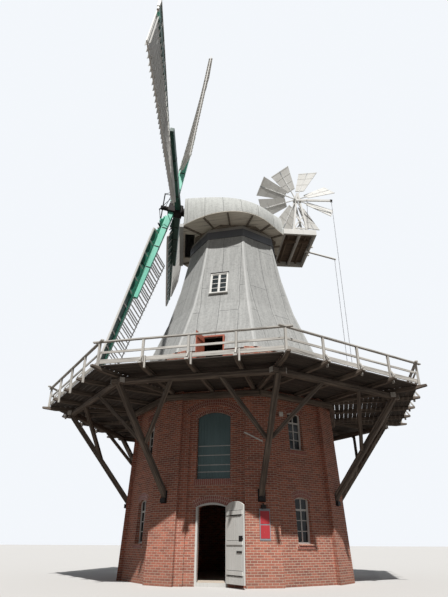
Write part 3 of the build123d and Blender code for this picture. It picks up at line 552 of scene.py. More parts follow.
def panelFace(height):
    return pilasterFace(height) / cos(halfFace) - tower["panelHalf"] * tan(halfFace) - tower["pilasterRise"]


# Gallery timber; each side is drawn towards +X and copied round the tower.
# A wear is a timber's chamfer, the cuts along its length and its waviness.

gallery = {
    "beamCorner": 8.035, "beamSize": 0.24, "beamLow": 6.70, "beamOverrun": 0.26,
    "endGrain": 0.20, "endGrainDepth": 0.012, "endGrainSunk": 0.004, "plateWidth": 0.2,
    "joistDepth": 0.17, "joistWidth": 0.15, "joistEnd": 8.60, "cornerJoistEnd": 9.33, "joistNose": 0.26,
    "deckEdge": 8.32, "deckThickness": 0.05, "boardWidth": 0.198, "boardGap": 0.014,
    "mitreGap": 0.004, "wallGap": 0.01,
    "postSize": 0.09, "railTop": 8.08, "railThickness": 0.06, "railWidth": 0.12,
    "railOverrun": 0.28, "bays": 4, "lowerRails": ((7.20, 7.37, 0.035), (7.60, 7.69, 0.045)),
    "strutFoot": 3.054, "strutHead": 7.89, "strutDepth": 0.23, "strutWidth": 0.2, "strutSpare": 0.16,
    "shoe": (0.10, 0.25, 0.16), "shoeLevel": 2.83, "shoePlate": (0.014, 0.30, 0.46), "shoePlateLevel": 2.95,
    "braceSize": 0.15, "braceShare": 0.45, "braceReach": 2.05, "braceRoot": 0.14, "braceSpare": 0.2,
    "logWear": (0.055, 12, 0.008), "plateWear": (0.03, 6, 0.005), "joistWear": (0.012, 7, 0.004),
    "boardWear": (0.005, 2, 0.0012), "strutWear": (0.02, 9, 0.008), "braceWear": (0.014, 7, 0.006),
    "postWear": (0.008, 4, 0.003), "railWear": (0.009, 10, 0.003), "lowerRailWear": (0.005, 8, 0.002),
}
joistLow = gallery["beamLow"] + gallery["beamSize"]
joistTop = joistLow + gallery["joistDepth"]
railMiddle = gallery["deckEdge"] + gallery["postSize"] / 2
galleryBay = 2 * railMiddle * tan(halfFace) / gallery["bays"]


def addAcross(reach, half, level, width, depth, wear):  # a level timber, square to +X
    beam = addBeam(2 * half, width, depth, *wear)
    return put(beam, between((reach, -half, level), (reach, half, level)))


def buildRingBeam():
    g = gallery
    reach = g["beamCorner"] * cos(halfFace) - g["beamSize"] / 2
    half = g["beamCorner"] * sin(halfFace) + g["beamOverrun"]
    level = g["beamLow"] + g["beamSize"] / 2
    logs = [turned(addAcross(reach, half, level, g["beamSize"], g["beamSize"], g["logWear"]), turn)
            for turn in sideTurns]
    finished(logs, "ringBeamLogs", "tower", strutTimber, "gallery_ring_beam", slot="dark_timber")
    ends = []
    for turn in sideTurns:
        for side in (-1, 1):
            end = addBeam(g["endGrainDepth"], g["endGrain"], g["endGrain"], 0.004)
            put(end, at(reach, side * (half - g["endGrainSunk"]), level) @ rotation(90))
            ends.append(turned(end, turn))
    finished(ends, "ringBeamEndGrain", "tower", railTimber, slot="pale_timber")


def buildWallPlate():
    g = gallery
    reach = panelFace(g["beamLow"]) + tower["pilasterRise"] + g["plateWidth"] / 2
    level = g["beamLow"] + g["beamSize"] / 2
    plate = addAcross(reach, reach * tan(halfFace), level, g["plateWidth"], g["beamSize"], g["plateWear"])
    finished(aroundTower([plate], sideTurns), "wallPlateTimbers", "tower", strutTimber,
             "gallery_wall_plate", slot="dark_timber")


def addJoist(start, end):
    g = gallery
    joist = addBeam(end - start, g["joistWidth"], g["joistDepth"], *g["joistWear"])
    for vertex in joist.data.vertices:
        nose = vertex.co.x - (end - start) / 2 + g["joistNose"]
        if nose > 0 and vertex.co.z < 0:
            vertex.co.z += g["joistDepth"] / 2 * nose / g["joistNose"]
    return put(joist, at((start + end) / 2, 0, 0))


def buildJoists():
    g = gallery
    start = panelFace(g["beamLow"]) + tower["pilasterRise"]
    level = (joistLow + joistTop) / 2
    joists = []
    for turn in sideTurns:
        for step in (-1, 0, 1):
            joist = put(addJoist(start, g["joistEnd"]), at(0, step * galleryBay, level))
            joists.append(turned(joist, turn))
    for turn in cornerTurns:
        joist = put(addJoist(pilasterFace(joistLow), g["cornerJoistEnd"]), at(0, 0, level))
        joists.append(turned(joist, turn))
    finished(joists, "galleryJoistTimbers", "tower", strutTimber, "gallery_joists", slot="dark_timber")


def buildDeck():  # the row at the wall takes what width is left
    g = gallery
    inner = panelFace(joistTop) + g["wallGap"]
    pitch = g["boardWidth"] + g["boardGap"]
    count = int((g["deckEdge"] - inner) / pitch)
    start = g["deckEdge"] - count * pitch
    rows = [(start + (row + 0.5) * pitch + g["boardGap"] / 2, g["boardWidth"]) for row in range(count)]
    rows.append(((inner + start) / 2, start - inner))
    level = joistTop + g["deckThickness"] / 2
    boards = []
    for turn in sideTurns:
        for middle, width in rows:
            half = (middle - width / 2) * tan(halfFace) - g["mitreGap"]
            if middle + width / 2 < pilasterFace(joistTop) * cos(halfFace):
                half = tower["panelHalf"] - g["wallGap"]
            board = addAcross(middle, half, level, width, g["deckThickness"], g["boardWear"])
            boards.append(turned(board, turn))
    finished(boards, "galleryDeckBoards", "tower", deckTimber, "gallery_deck", slot="weathered_boards")


def trim(piece, *cuts):  # a cut is a point, a normal and whether the part behind it goes
    activate(piece)
    editMesh()
    for point, normal, behind in cuts:
        bpy.ops.mesh.select_all(action="SELECT")
        bpy.ops.mesh.bisect(plane_co=point, plane_no=normal, use_fill=True, clear_inner=behind,
                            clear_outer=not behind)
    doneEditing()


def buildGalleryStruts():
    g = gallery
    foot = Vector((pilasterFace(g["strutFoot"]), 0, g["strutFoot"]))
    head = Vector((g["strutHead"], 0, g["beamLow"]))
    spare = (head - foot).normalized() * g["strutSpare"]
    wallNormal = Vector((1, 0, tower["batter"])).normalized()
    underBeam = ((0, 0, g["beamLow"]), (0, 0, 1), False)
    struts = []
    for turn in cornerTurns:
        strut = addBeam((head - foot).length + 2 * g["strutSpare"], g["strutWidth"], g["strutDepth"],
                        *g["strutWear"])
        put(strut, between(foot - spare, head + spare))
        trim(strut, underBeam, (foot, wallNormal, True))
        struts.append(turned(strut, turn))
    finished(struts, "galleryStrutTimbers", "tower", strutTimber, "gallery_struts", slot="dark_timber")
    shoes = [addBeam(*g["shoe"], 0.008), addBeam(*g["shoePlate"], 0.003)]
    put(shoes[0], at(pilasterFace(g["shoeLevel"]) + g["shoe"][0] / 2, 0, g["shoeLevel"]))
    put(shoes[1], at(pilasterFace(g["shoePlateLevel"]) + 0.004, 0, g["shoePlateLevel"]))
    finished(aroundTower(shoes, cornerTurns), "strutShoes", "tower", blackIron, slot="iron")

    fork = foot.lerp(head, g["braceShare"])
    braceLine = g["beamCorner"] - g["beamSize"] / 2
    braces = []
    for turn in cornerTurns:
        for side in (1, -1):
            tip = Vector((braceLine - g["braceReach"] * sin(halfFace),
                          side * g["braceReach"] * cos(halfFace), g["beamLow"]))
            way = (tip - fork).normalized()
            root = fork + way * g["braceRoot"]
            brace = addBeam((tip - root).length + g["braceSpare"], g["braceSize"], g["braceSize"],
                            *g["braceWear"])
            put(brace, between(root, tip + way * g["braceSpare"]))
            trim(brace, underBeam, ((0, side * g["strutWidth"] / 2, 0), (0, side, 0), True))
            braces.append(turned(brace, turn))
    finished(braces, "galleryBraceTimbers", "tower", strutTimber, "gallery_braces", slot="dark_timber")


def buildGalleryPosts():
    g = gallery
    postTop = g["railTop"] - g["railThickness"]
    cornerReach = g["deckEdge"] / cos(halfFace) + g["postSize"] / 2

    def addPost(reach, side, turn):
        post = addBeam(postTop - joistTop, g["postSize"], g["postSize"], *g["postWear"])
        put(post, between((reach, side, joistTop), (reach, side, postTop), (1, 0, 0)))
        return turned(post, turn)

    posts = [addPost(railMiddle, step * galleryBay, turn) for turn in sideTurns for step in (-1, 0, 1)]
    posts += [addPost(cornerReach, 0, turn) for turn in cornerTurns]
    finished(posts, "galleryPostTimbers", "tower", railTimber, "gallery_posts", slot="pale_timber")


postFeet = {  # heights are from the joists' top; a size is a length, a width and a depth
    "cleat": (0.46, 0.06, 0.085), "cleatLow": -0.20, "cleatHigh": 0.26, "cleatGap": 0.032,
    "knee": (0.31, 0.06, 0.06), "kneeFoot": (-0.03, 0.02), "kneeHead": (0.04, 0.27),
    "nose": (0.012, 0.14, 0.07), "noseProud": 0.002, "noseDrop": 0.045, "wear": (0.006, 3, 0.002),
}


def buildPostFeet():
    f = postFeet
    side = gallery["joistWidth"] / 2 + f["cleatGap"]
    cleat = put(addBeam(*f["cleat"], *f["wear"]),
                between((railMiddle, side, joistTop + f["cleatLow"]),
                        (railMiddle, side, joistTop + f["cleatHigh"]), (1, 0, 0)))
    reach, rise = f["kneeFoot"]
    headReach, headRise = f["kneeHead"]
    knee = put(addBeam(*f["knee"], *f["wear"]),
               between((gallery["joistEnd"] + reach, 0, joistTop + rise),
                       (railMiddle + headReach, 0, joistTop + headRise), (0, 1, 0)))
    nose = put(addBeam(*f["nose"], 0.003),
               at(gallery["joistEnd"] + f["noseProud"], 0, joistTop - f["noseDrop"]))
    feet = []
    for piece in (cleat, knee, nose):
        for step in (-1, 0, 1):
            feet.append(copyOf(piece, at(0, step * galleryBay, 0)))
        bpy.data.objects.remove(piece)
    finished(aroundTower(feet, sideTurns), "galleryPostFeet", "tower", railTimber, slot="pale_timber")


def buildGalleryRails():
    g = gallery
    half = railMiddle * tan(halfFace) + g["railOverrun"]
    level = g["railTop"] - g["railThickness"] / 2
    rails = []
    for turn in sideTurns:
        rail = addAcross(railMiddle, half, level, g["railWidth"], g["railThickness"], g["railWear"])
        rails.append(turned(rail, turn))
    finished(rails, "galleryHandrailTimbers", "tower", railTimber, "gallery_handrail", slot="pale_timber")
    lower = []
    for turn in sideTurns:
        for low, high, thickness in g["lowerRails"]:
            reach = g["deckEdge"] - thickness / 2
            rail = addAcross(reach, reach * tan(halfFace) - 0.003, (low + high) / 2, thickness, high - low,
                             g["lowerRailWear"])
            lower.append(turned(rail, turn))
    finished(lower, "galleryLowerRailBoards", "tower", railTimber, "gallery_lower_rails", slot="pale_timber")


buildRingBeam()
buildWallPlate()
buildJoists()
buildDeck()
buildGalleryStruts()
buildGalleryPosts()
buildPostFeet()
buildGalleryRails()
print("stage: gallery built")

# Brickwork details; each wall is drawn towards -Y and turned.
# An arch is its half width, the height of its springing and its rise.

bricks = {
    "length": 0.115, "width": 0.066, "depth": 0.06, "joint": 0.011, "proud": 0.009,
    "bedProud": 0.003, "bedEdge": 0.016, "archGap": 0.006, "archSpare": 0.04,
    "entrance": (0.608, 2.58, 0.15), "loading": (0.69, 6.0, 0.21), "niche": (1.0, 6.14, 0.33),
    "windows": ((0.37, 2.88, 0.09), (0.37, 6.22, 0.09)), "nicheDepth": 0.12,
    "sills": (1.30, 4.72), "sillHalf": 0.45, "sillHeight": 0.125, "sillProud": 0.03,
    "loadingSillHalf": 0.76, "loadingSillLow": 3.35, "loadingSillHigh": 3.586,
    "rowJoint": 0.006, "rowBedEdge": 0.002, "rowBedProud": 0.022,
}


def nicheFace(height):
    return panelFace(height) - bricks["nicheDepth"]


def brickAt(x, z, lean, face, length, width, proud):
    piece = addCube((length, width, bricks["depth"]))
    normal = Vector((0, -1, tower["batter"])).normalized()
    along = Vector((cos(lean), 0, sin(lean)))
    across = normal.cross(along).normalized()
    along = across.cross(normal).normalized()
    centre = Vector((x, -face(z), z)) + normal * (proud - bricks["depth"] / 2)
    turn = Matrix((along, across, normal)).transposed().to_4x4()
    return put(piece, Matrix.Translation(centre) @ turn)


def archBricks(shape, rows, face):  # the bricks and the mortar bed behind them
    b = bricks
    half, spring, rise = shape
    radius = (half * half + rise * rise) / (2 * rise)
    middle = spring + rise - radius
    spread = asin(half / radius) + b["archSpare"]
    courses, bed = [], []
    for row in range(rows):
        reach = radius + b["archGap"] + (row + 0.5) * (b["length"] + b["joint"])
        count = max(3, int(2 * spread * reach / (b["width"] + b["joint"])))
        width = 2 * spread * reach / count - b["joint"]
        for step in range(count):
            angle = (step + 0.5) / count * 2 * spread - spread
            place = (reach * sin(angle), middle + reach * cos(angle), pi / 2 - angle)
            courses.append(brickAt(*place, face, b["length"], width, b["proud"]))
            bed.append(brickAt(*place, face, b["length"] + b["bedEdge"], width + b["bedEdge"], b["bedProud"]))
    return courses, bed


def soldierRow(half, low, high, face):  # bricks on end under a sill
    b = bricks
    count = int(2 * half / (b["width"] + b["joint"]))
    pitch = 2 * half / count
    row, bed = [], []
    for step in range(count):
        place = ((step + 0.5) * pitch - half, (low + high) / 2, pi / 2)
        row.append(brickAt(*place, face, high - low - b["rowJoint"], pitch - b["joint"], b["sillProud"]))
        bed.append(brickAt(*place, face, high - low, pitch + b["rowBedEdge"], b["rowBedProud"]))
    return row, bed


def joinedRows(rows):
    return [sum(pieces, []) for pieces in zip(*rows)]


def buildBrickDetails():
    b = bricks
    rows = [archBricks(b["entrance"], 2, nicheFace), archBricks(b["loading"], 1, nicheFace),
            archBricks(b["niche"], 2, panelFace),
            soldierRow(b["loadingSillHalf"], b["loadingSillLow"], b["loadingSillHigh"], nicheFace)]
    front, bed = joinedRows(rows)
    finished(front, "entranceArchBricks", "tower", archBrick, slot="brick")
    finished(bed, "entranceArchMortar", "tower", mortarPaste, slot="brick")

    rows = [archBricks(shape, 2, panelFace) for shape in b["windows"]]
    rows += [soldierRow(b["sillHalf"], sill - b["sillHeight"], sill, panelFace) for sill in b["sills"]]
    heads, bed = joinedRows(rows)
    finished(aroundTower(heads, windowTurns), "windowHeadBricks", "tower", archBrick, slot="brick")
    finished(aroundTower(bed, windowTurns), "windowHeadMortar", "tower", mortarPaste, slot="brick")


buildBrickDetails()
print("stage: brick details built")

# Windows

baseWindows = {
    "openings": ((1.30, 2.88, 4.55), (4.72, 6.22, 4.39)), "half": 0.315,  # sill, springing, wall face
    "lowEdge": 0.115, "highEdge": 0.03, "barBack": 0.030, "barWidth": 0.028, "barDepth": 0.024,
    "mullion": 0.05, "transom": 0.07, "transomShare": 0.26, "transomProud": 0.004,
    "stile": 0.036, "stileDrop": 0.02,
    "boardOverrun": 0.05, "boardLow": 0.06, "boardHigh": 0.095, "boardProud": 0.03, "boardDepth": 0.06,
}


def flatBar(x0, x1, z0, z1, front, depth):  # a board that faces -Y
    board = addCube((abs(x1 - x0), depth, abs(z1 - z0)))
    return put(board, at((x0 + x1) / 2, -(front - depth / 2), (z0 + z1) / 2))


def crossBar(x0, x1, level, height, front, depth):
    return flatBar(x0, x1, level - height / 2, level + height / 2, front, depth)


def uprightBar(x, width, z0, z1, front, depth):
    return flatBar(x - width / 2, x + width / 2, z0, z1, front, depth)


def buildBaseWindowBars():
    w = baseWindows
    half = w["half"]
    bars = []
    for sill, spring, face in w["openings"]:
        low, high = sill + w["lowEdge"], spring + w["highEdge"]
        front = face - w["barBack"] + w["barDepth"]
        bars.append(uprightBar(0, w["mullion"], low, high, front, w["barDepth"]))
        top = high - (high - low) * w["transomShare"]
        bars.append(crossBar(-half, half, top, w["transom"], front + w["transomProud"], w["barDepth"]))
        for share in (1 / 3, 2 / 3):
            bars.append(crossBar(-half, half, low + (top - low) * share, w["barWidth"], front, w["barDepth"]))
        for side in (-1, 1):
            bars.append(uprightBar(side * (half - w["stile"] / 2), w["stile"], low, high - w["stileDrop"],
                                   front, w["barDepth"]))
        bars.append(flatBar(-half - w["boardOverrun"], half + w["boardOverrun"], sill + w["boardLow"],
                            sill + w["boardHigh"], face + w["boardProud"], w["boardDepth"]))
    finished(aroundTower(bars, windowTurns), "windowBars", "tower", whitePaint, slot="white_paint")


smockWindow = {  # a bar or a rail is its width, how far it stands out and its depth
    "x": -0.17, "level": 13.12, "half": 0.46, "halfHeight": 0.68, "frame": 0.055,
    "wall": ((11.8, 3.62), (13.9, 3.05)), "sashEdge": 0.045, "stileMiddle": 0.038,
    "meeting": (0.056, 0.045, 0.032), "stile": (0.036, 0.038, 0.025), "bar": (0.028, 0.034, 0.021),
    "rail": (0.044, 0.037, 0.024), "paneFront": 0.0135, "paneDepth": 0.001, "rows": 4,
    "headOverrun": 0.03, "headHeight": 0.05, "headFront": 0.09, "headDepth": 0.05,
    "sillOverrun": 0.04, "sillHeight": 0.035, "sillFront": 0.12, "sillDepth": 0.09,
}


def buildSmockWindow():
    w = smockWindow
    half, tall = w["half"], w["halfHeight"]
    inner, innerTall = half - w["frame"], tall - w["frame"]
    (z0, r0), (z1, r1) = w["wall"]
    radius = r0 + (r1 - r0) * (w["level"] - z0) / (z1 - z0)
    lean = atan2((r0 - r1) * cos(halfFace), z1 - z0)
    place = at(w["x"], -radius * cos(halfFace), w["level"]) @ Matrix.Rotation(-lean, 4, "X")

    def upright(x, part):
        width, front, depth = part
        return uprightBar(x, width, -innerTall, innerTall, front, depth)

    bars = [upright(0, w["meeting"])]
    for side in (-1, 1):
        bars += [upright(side * x, w["stile"]) for x in (w["stileMiddle"], inner - w["stile"][0] / 2)]
        ends = (side * w["sashEdge"], side * inner)
        for step in range(1, w["rows"]):
            bars.append(crossBar(*ends, -innerTall + 2 * innerTall * step / w["rows"], *w["bar"]))
        for way in (-1, 1):
            bars.append(crossBar(*ends, way * (innerTall - w["rail"][0] / 2), *w["rail"]))
    panes = [flatBar(-inner, inner, -innerTall, innerTall, w["paneFront"], w["paneDepth"])]
    width = half + w["headOverrun"]
    heads = [flatBar(-width, width, tall, tall + w["headHeight"], w["headFront"], w["headDepth"])]
    width = half + w["sillOverrun"]
    bars.append(flatBar(-width, width, -tall - w["sillHeight"], -tall, w["sillFront"], w["sillDepth"]))
    for pieces, material, name, slot in ((bars, whitePaint, "smockWindowBars", "white_paint"),
                                         (panes, darkGlass, "smockWindowPanes", "glass"),
                                         (heads, blackIron, "smockWindowFlashing", "dark_paint")):
        placed = [put(piece, place) for piece in pieces]
        finished(aroundTower(placed, (0, 180)), name, "tower", material, slot=slot)


buildBaseWindowBars()
buildSmockWindow()

# Doors; a strap with the painted shade under a ledge, or a lock part, is its left, right, low and high edges,
# how far it stands out, its depth

entranceLeaf = {
    "hinge": (0.5987, -4.705, 0), "left": -0.568, "right": 0.5717, "low": 0.126, "spring": 2.58,
    "rise": 0.15, "back": 4.646, "thickness": 0.05, "open": 135, "planks": 8,
    "ledges": (0.40, 1.32, 2.28), "ledgeHalf": 0.50, "ledgeHeight": 0.13, "ledgeDepth": 0.024,
    # black strips under the ledges: partly iron straps, partly painted shade cast by the ledges
    "strapsAndLedgeShade": ((-0.42, 0.30, 2.24, 2.275, -0.004, 0.014), (-0.46, -0.14, 1.08, 1.13, -0.004, 0.014),
               (-0.44, 0.44, 0.375, 0.395, -0.004, 0.010)),
    "hinges": (0.60, 2.15), "hingeEnds": (-0.48, 0.565), "hingeHeight": 0.04, "hingeDepth": 0.006,
    "capEnds": (-0.49, 0.50), "capHeight": 0.012,
    "lock": ((-0.50, -0.30, 1.42, 1.60, 0.002, 0.026), (-0.53, -0.50, 1.50, 1.53, 0.0, 0.02),
             (-0.49, -0.45, 1.47, 1.53, 0.062, 0.014)),
}


plankGap = 0.006


def archedTop(x, left, right, spring, rise):
    half = (right - left) / 2
    radius = (half * half + rise * rise) / (2 * rise)
    away = x - (left + right) / 2
    return spring + rise - radius + sqrt(max(radius * radius - away * away, 0))


def grained(pieces):  # the grain runs upright
    for piece in pieces:
        storeGrain(piece)
        for entry in piece.data.attributes["grain"].data:
            x, y, z = entry.vector
            entry.vector = (z, y, x)
    return pieces


def plankRow(left, right, low, topAt, front, depth, count):
    pitch = (right - left) / count
    planks = []
    for step in range(count):
        start = left + step * pitch + plankGap / 2
        plank = flatBar(start, start + pitch - plankGap, low, low + 1, front, depth)
        for vertex in plank.data.vertices:
            if vertex.co.z > low + 0.5:
                vertex.co.z = topAt(vertex.co.x)
        planks.append(plank)
    return grained(planks)


def buildEntranceLeaf():
    e = entranceLeaf
    hinge = Vector(e["hinge"])
    swing = Matrix.Translation(hinge) @ rotation(e["open"]) @ Matrix.Translation(-hinge)
    back, front = e["back"], e["back"] + e["thickness"]

    def top(x):
        return archedTop(x, e["left"], e["right"], e["spring"], e["rise"])

    def hung(pieces):
        return [put(piece, swing) for piece in pieces]

    def darkBars(parts):
        return [flatBar(x0, x1, z0, z1, back + proud, depth) for x0, x1, z0, z1, proud, depth in parts]

    planks = plankRow(e["left"], e["right"], e["low"], top, front, e["thickness"] - 0.002, e["planks"])
    ledges = grained([flatBar(-e["ledgeHalf"], e["ledgeHalf"], level, level + e["ledgeHeight"], back + 0.002,
                              e["ledgeDepth"]) for level in e["ledges"]])
    finished(hung(planks + ledges), "entranceLeafPlanks", "door", leafPaint, "entrance_leaf",
             slot="white_paint")
    # the black strips under the ledges are partly iron straps and partly the ledges' painted shade
    finished(hung(darkBars(e["strapsAndLedgeShade"])), "entranceLeafStrapsAndLedgeShade", "door", blackIron, slot="iron")
    iron = [crossBar(*e["hingeEnds"], level, e["hingeHeight"], front + 0.004, e["hingeDepth"])
            for level in e["hinges"]]
    for level in e["ledges"]:
        low = level + e["ledgeHeight"]
        iron.append(flatBar(*e["capEnds"], low, low + e["capHeight"], back + 0.002, 0.012))
    finished(hung(iron + darkBars(e["lock"])), "entranceLeafIron", "door", blackIron, slot="iron")


loadingDoor = {
    "half": 0.69, "low": 3.59, "spring": 6.0, "rise": 0.21, "face": 4.30, "edge": 0.004,
    "boards": 11, "boardProud": 0.006, "boardDepth": 0.07,
    "strips": (3.87, 4.13, 4.50, 4.86), "stripIn": 0.03, "stripHeight": 0.036, "stripProud": 0.014,
    "stripDepth": 0.012,
}


def buildLoadingDoor():
    d = loadingDoor
    half, edge = d["half"], d["edge"]

    def top(x):
        return archedTop(x, -half, half, d["spring"], d["rise"]) - edge

    boards = plankRow(-half + edge, half - edge, d["low"] + edge, top, d["face"] + d["boardProud"],
                      d["boardDepth"], d["boards"])
    finished(boards, "loadingDoorBoards", "tower", slateTeal, "loading_door", slot="grey_green_paint")
    half -= d["stripIn"]
    strips = [crossBar(-half, half, level, d["stripHeight"], d["face"] + d["stripProud"], d["stripDepth"])
              for level in d["strips"]]
    finished(strips, "loadingDoorStrips", "tower", paleStrip, slot="grey_green_paint")


galleryDoor = {
    "middle": -0.10, "half": 0.50, "low": 7.16, "high": 9.72, "face": 4.33, "open": 98, "hingeIn": 0.055,
    "ledges": (7.5, 8.5, 9.35), "ledgeHeight": 0.11, "ledgeEnds": (0.05, 0.80), "ledgeFronts": (0.05, -0.03),
    "ledgeDepth": 0.022, "jambEdges": (0.07, 0.005), "jambDrop": 0.06, "jambProud": 0.02, "jambDepth": 0.03,
}


def buildGalleryDoor():
    d = galleryDoor
    swung = at(d["middle"] - d["half"] + d["hingeIn"], -d["face"], 0) @ rotation(-d["open"])
    pieces = [put(flatBar(*d["ledgeEnds"], level, level + d["ledgeHeight"], front, d["ledgeDepth"]), swung)
              for front in d["ledgeFronts"] for level in d["ledges"]]
    inner, outer = (d["middle"] + d["half"] - edge for edge in d["jambEdges"])
    pieces.append(flatBar(inner, outer, d["low"], d["high"] - d["jambDrop"], d["face"] + d["jambProud"],
                          d["jambDepth"]))
    finished(pieces, "galleryDoorLedges", "tower", redPaint, slot="red_paint")


buildEntranceLeaf()
buildLoadingDoor()
buildGalleryDoor()

# What hangs on the wall; a part is its left, right, low and high edges, how far it stands out, its depth

wallFittings = {
    "board": (-0.13, 0.27, 1.46, 2.50, 0.045, 0.03),
    "plates": ((1.99, 2.42), (1.52, 1.95)), "plateEnds": (-0.10, 0.24), "plateLevel": 1.98,
    "plateProud": 0.053, "plateDepth": 0.008,
    "darkLamp": ((-0.05, 0.12, 2.50, 2.62, 0.14, 0.16), (0.02, 0.05, 2.62, 2.68, 0.10, 0.12)),
    "rodLength": 0.80, "rodSize": 0.045, "rodStart": (-0.614, 5.251), "rodEnd": (0.122, 4.928),
    "rodLevel": 5.1, "rodProud": 0.04,
    "whiteLamp": (0.93, 1.09, 6.02, 6.20), "whiteLampLevel": 6.1, "whiteLampSet": 0.17,
    "whiteLampDepth": 0.12,
}


def buildWallFittings():
    w = wallFittings
    turn = rotation(22.5)

    def onPilaster(x0, x1, z0, z1, proud, depth):
        return put(flatBar(x0, x1, z0, z1, pilasterFace((z0 + z1) / 2) + proud, depth), turn)

    finished([onPilaster(*w["board"])], "noticeBoard", "tower", greyBoard, slot="dark_paint")
    front = pilasterFace(w["plateLevel"]) + w["plateProud"]
    plates = [put(flatBar(*w["plateEnds"], *edges, front, w["plateDepth"]), turn) for edges in w["plates"]]
    finished(plates, "noticePlates", "tower", signRed, slot="red_paint")
    dark = [onPilaster(*part) for part in w["darkLamp"]]
    finished(dark, "wallLampDark", "tower", blackIron, slot="iron")
    rod = addBeam(w["rodLength"], w["rodSize"], w["rodSize"], 0.004)
    face = pilasterFace(w["rodLevel"]) + w["rodProud"]
    ends = [(x, -face, z) for x, z in (w["rodStart"], w["rodEnd"])]
    # the rod is pale like the real rod, and whiter than its own orange-brown as a painted highlight
    finished([put(rod, turn @ between(*ends))], "wallRod", "tower", leafPaint, slot="pale_timber")
    face = pilasterFace(w["whiteLampLevel"]) - w["whiteLampSet"]
    lamp = put(flatBar(*w["whiteLamp"], face, w["whiteLampDepth"]), turn)
    finished([lamp], "wallLampWhite", "tower", lampGlass, slot="white_paint")


buildWallFittings()
print("stage: windows and doors built")

# Strips over the arrises of the smock

smock = {
    "levels": ((9.0, 4.76), (10.2, 4.26), (11.8, 3.62), (13.9, 3.05), (16.35, 2.56)),
    "stripWidth": 0.10, "stripThickness": 0.012, "stripLift": 0.004, "stripOverlap": 0.002,
}


def buildSmockStrips():
    s = smock
    strips = []
    for (z0, r0), (z1, r1) in zip(s["levels"], s["levels"][1:]):
        slope = Vector((0, z0 - z1, (r0 - r1) * cos(halfFace))).normalized()
        for side in (-1, 1):
            ends = []
            for z, r in ((z0, r0), (z1, r1)):
                half = r * sin(halfFace) - s["stripWidth"] / 2 + s["stripOverlap"]
                ends.append(Vector((side * half, -r * cos(halfFace), z)))
            strip = addBeam((ends[1] - ends[0]).length, s["stripWidth"], s["stripThickness"], 0.002)
            lift = slope * s["stripLift"]
            strips.append(put(strip, between(ends[0] + lift, ends[1] + lift, slope)))
    finished(aroundTower(strips, sideTurns), "smockArrisStrips", "tower", paleStrip, slot="smock_cladding")


buildSmockStrips()
print("stage: smock strips built")

# What the cap carries, drawn with the windshaft towards +X

capPlace = rotation(capTurn)
chain = {
    "runs": (-6.39, -6.13), "side": 0.11, "tops": (21.13, 16.68), "low": 8.3, "pitch": 0.058,
    "linkRadius": 0.014, "wireRadius": 0.0055, "linkStretch": 0.018, "sag": 0.02,
}


def addRing(radius, wire, around, section):
    deselectAll()
    bpy.ops.mesh.primitive_torus_add(major_segments=around, minor_segments=section, major_radius=radius,
                                     minor_radius=wire)
    return bpy.context.object


def buildChain():
    c = chain
    link = addRing(c["linkRadius"], c["wireRadius"], 10, 5)
    for vertex in link.data.vertices:
        vertex.co.x += c["linkStretch"] if vertex.co.x > 0 else -c["linkStretch"]
    links = []

    def hang(reach, level, turn):
        links.append(copyOf(link, capPlace @ at(reach, c["side"], level) @ turn))

    for reach, top in zip(c["runs"], c["tops"]):
        for step in range(int((top - c["low"]) / c["pitch"])):
            hang(reach, top - (step + 0.5) * c["pitch"], rotation(90, "Y") @ rotation(90 * (step % 2), "X"))
    start, end = c["runs"]
    count = int((end - start) / c["pitch"]) + 1
    for step in range(count):
        share = (step + 0.5) / count
        level = c["low"] + c["sag"] + c["sag"] * (2 * share - 1) ** 2
        hang(start + (end - start) * share, level, rotation(90 * (step % 2), "X"))
    bpy.data.objects.remove(link)
    finished(links, "strikingChainLinks", "cap", chainIron, "striking_chain", slot="iron")


stage = {
    "half": 1.81, "deckLow": 17.49, "frameLow": 17.19,
    "beams": (-3.10, -3.62, -4.14), "beamInset": 0.14, "beamSize": (0.11, 0.13), "beamDrop": 0.067,
    "boards": 16, "firstBoard": -1.56, "boardPitch": 0.2133, "boardEnds": (-4.485, -2.845),
    "boardSize": (0.205, 0.012), "boardDrop": 0.007,
    "panelEnds": (-4.3, -2.9), "panelLength": 1.5, "panelSize": (0.02, 0.26), "panelSide": 0.9,
    "panelLevel": 17.33,
    "stripSize": (0.125, 0.006), "stripDrop": 0.003, "sideStrips": (-1.745, 1.745),
    "sideStripEnds": (-4.61, -2.71), "crossStrips": (-4.555, -3.66, -2.765), "crossStripHalf": 1.675,
}


def buildStage():
    s = stage
    inner = s["half"] - s["beamInset"]
    wood = []
    for reach in s["beams"]:
        level = s["deckLow"] - s["beamDrop"]
        beam = addBeam(2 * inner, *s["beamSize"], 0.006, 3, 0.003)
        wood.append(put(beam, capPlace @ between((reach, -inner, level), (reach, inner, level))))
    start, end = s["boardEnds"]
    for step in range(s["boards"]):
        side, level = s["firstBoard"] + step * s["boardPitch"], s["deckLow"] - s["boardDrop"]
        board = addBeam(end - start, *s["boardSize"], 0.003)
        wood.append(put(board, capPlace @ between((start, side, level), (end, side, level))))
    panel = addBeam(s["panelLength"], *s["panelSize"], 0.004)
    start, end = ((reach, s["panelSide"], s["panelLevel"]) for reach in s["panelEnds"])
    wood.append(put(panel, capPlace @ between(start, end)))

    strips = []
    level = s["frameLow"] - s["stripDrop"]
    start, end = s["sideStripEnds"]
    for side in s["sideStrips"]:
        strip = addBeam(end - start, *s["stripSize"], 0.002)
        strips.append(put(strip, capPlace @ between((start, side, level), (end, side, level))))
    half = s["crossStripHalf"]
    for reach in s["crossStrips"]:
        strip = addBeam(2 * half, *s["stripSize"], 0.002)
        strips.append(put(strip, capPlace @ between((reach, -half, level), (reach, half, level))))
    finished(strips, "stageFrameFaces", "cap", railTimber, slot="pale_timber")
    finished(wood, "stageUnderside", "cap", stageWood, slot="dark_timber")


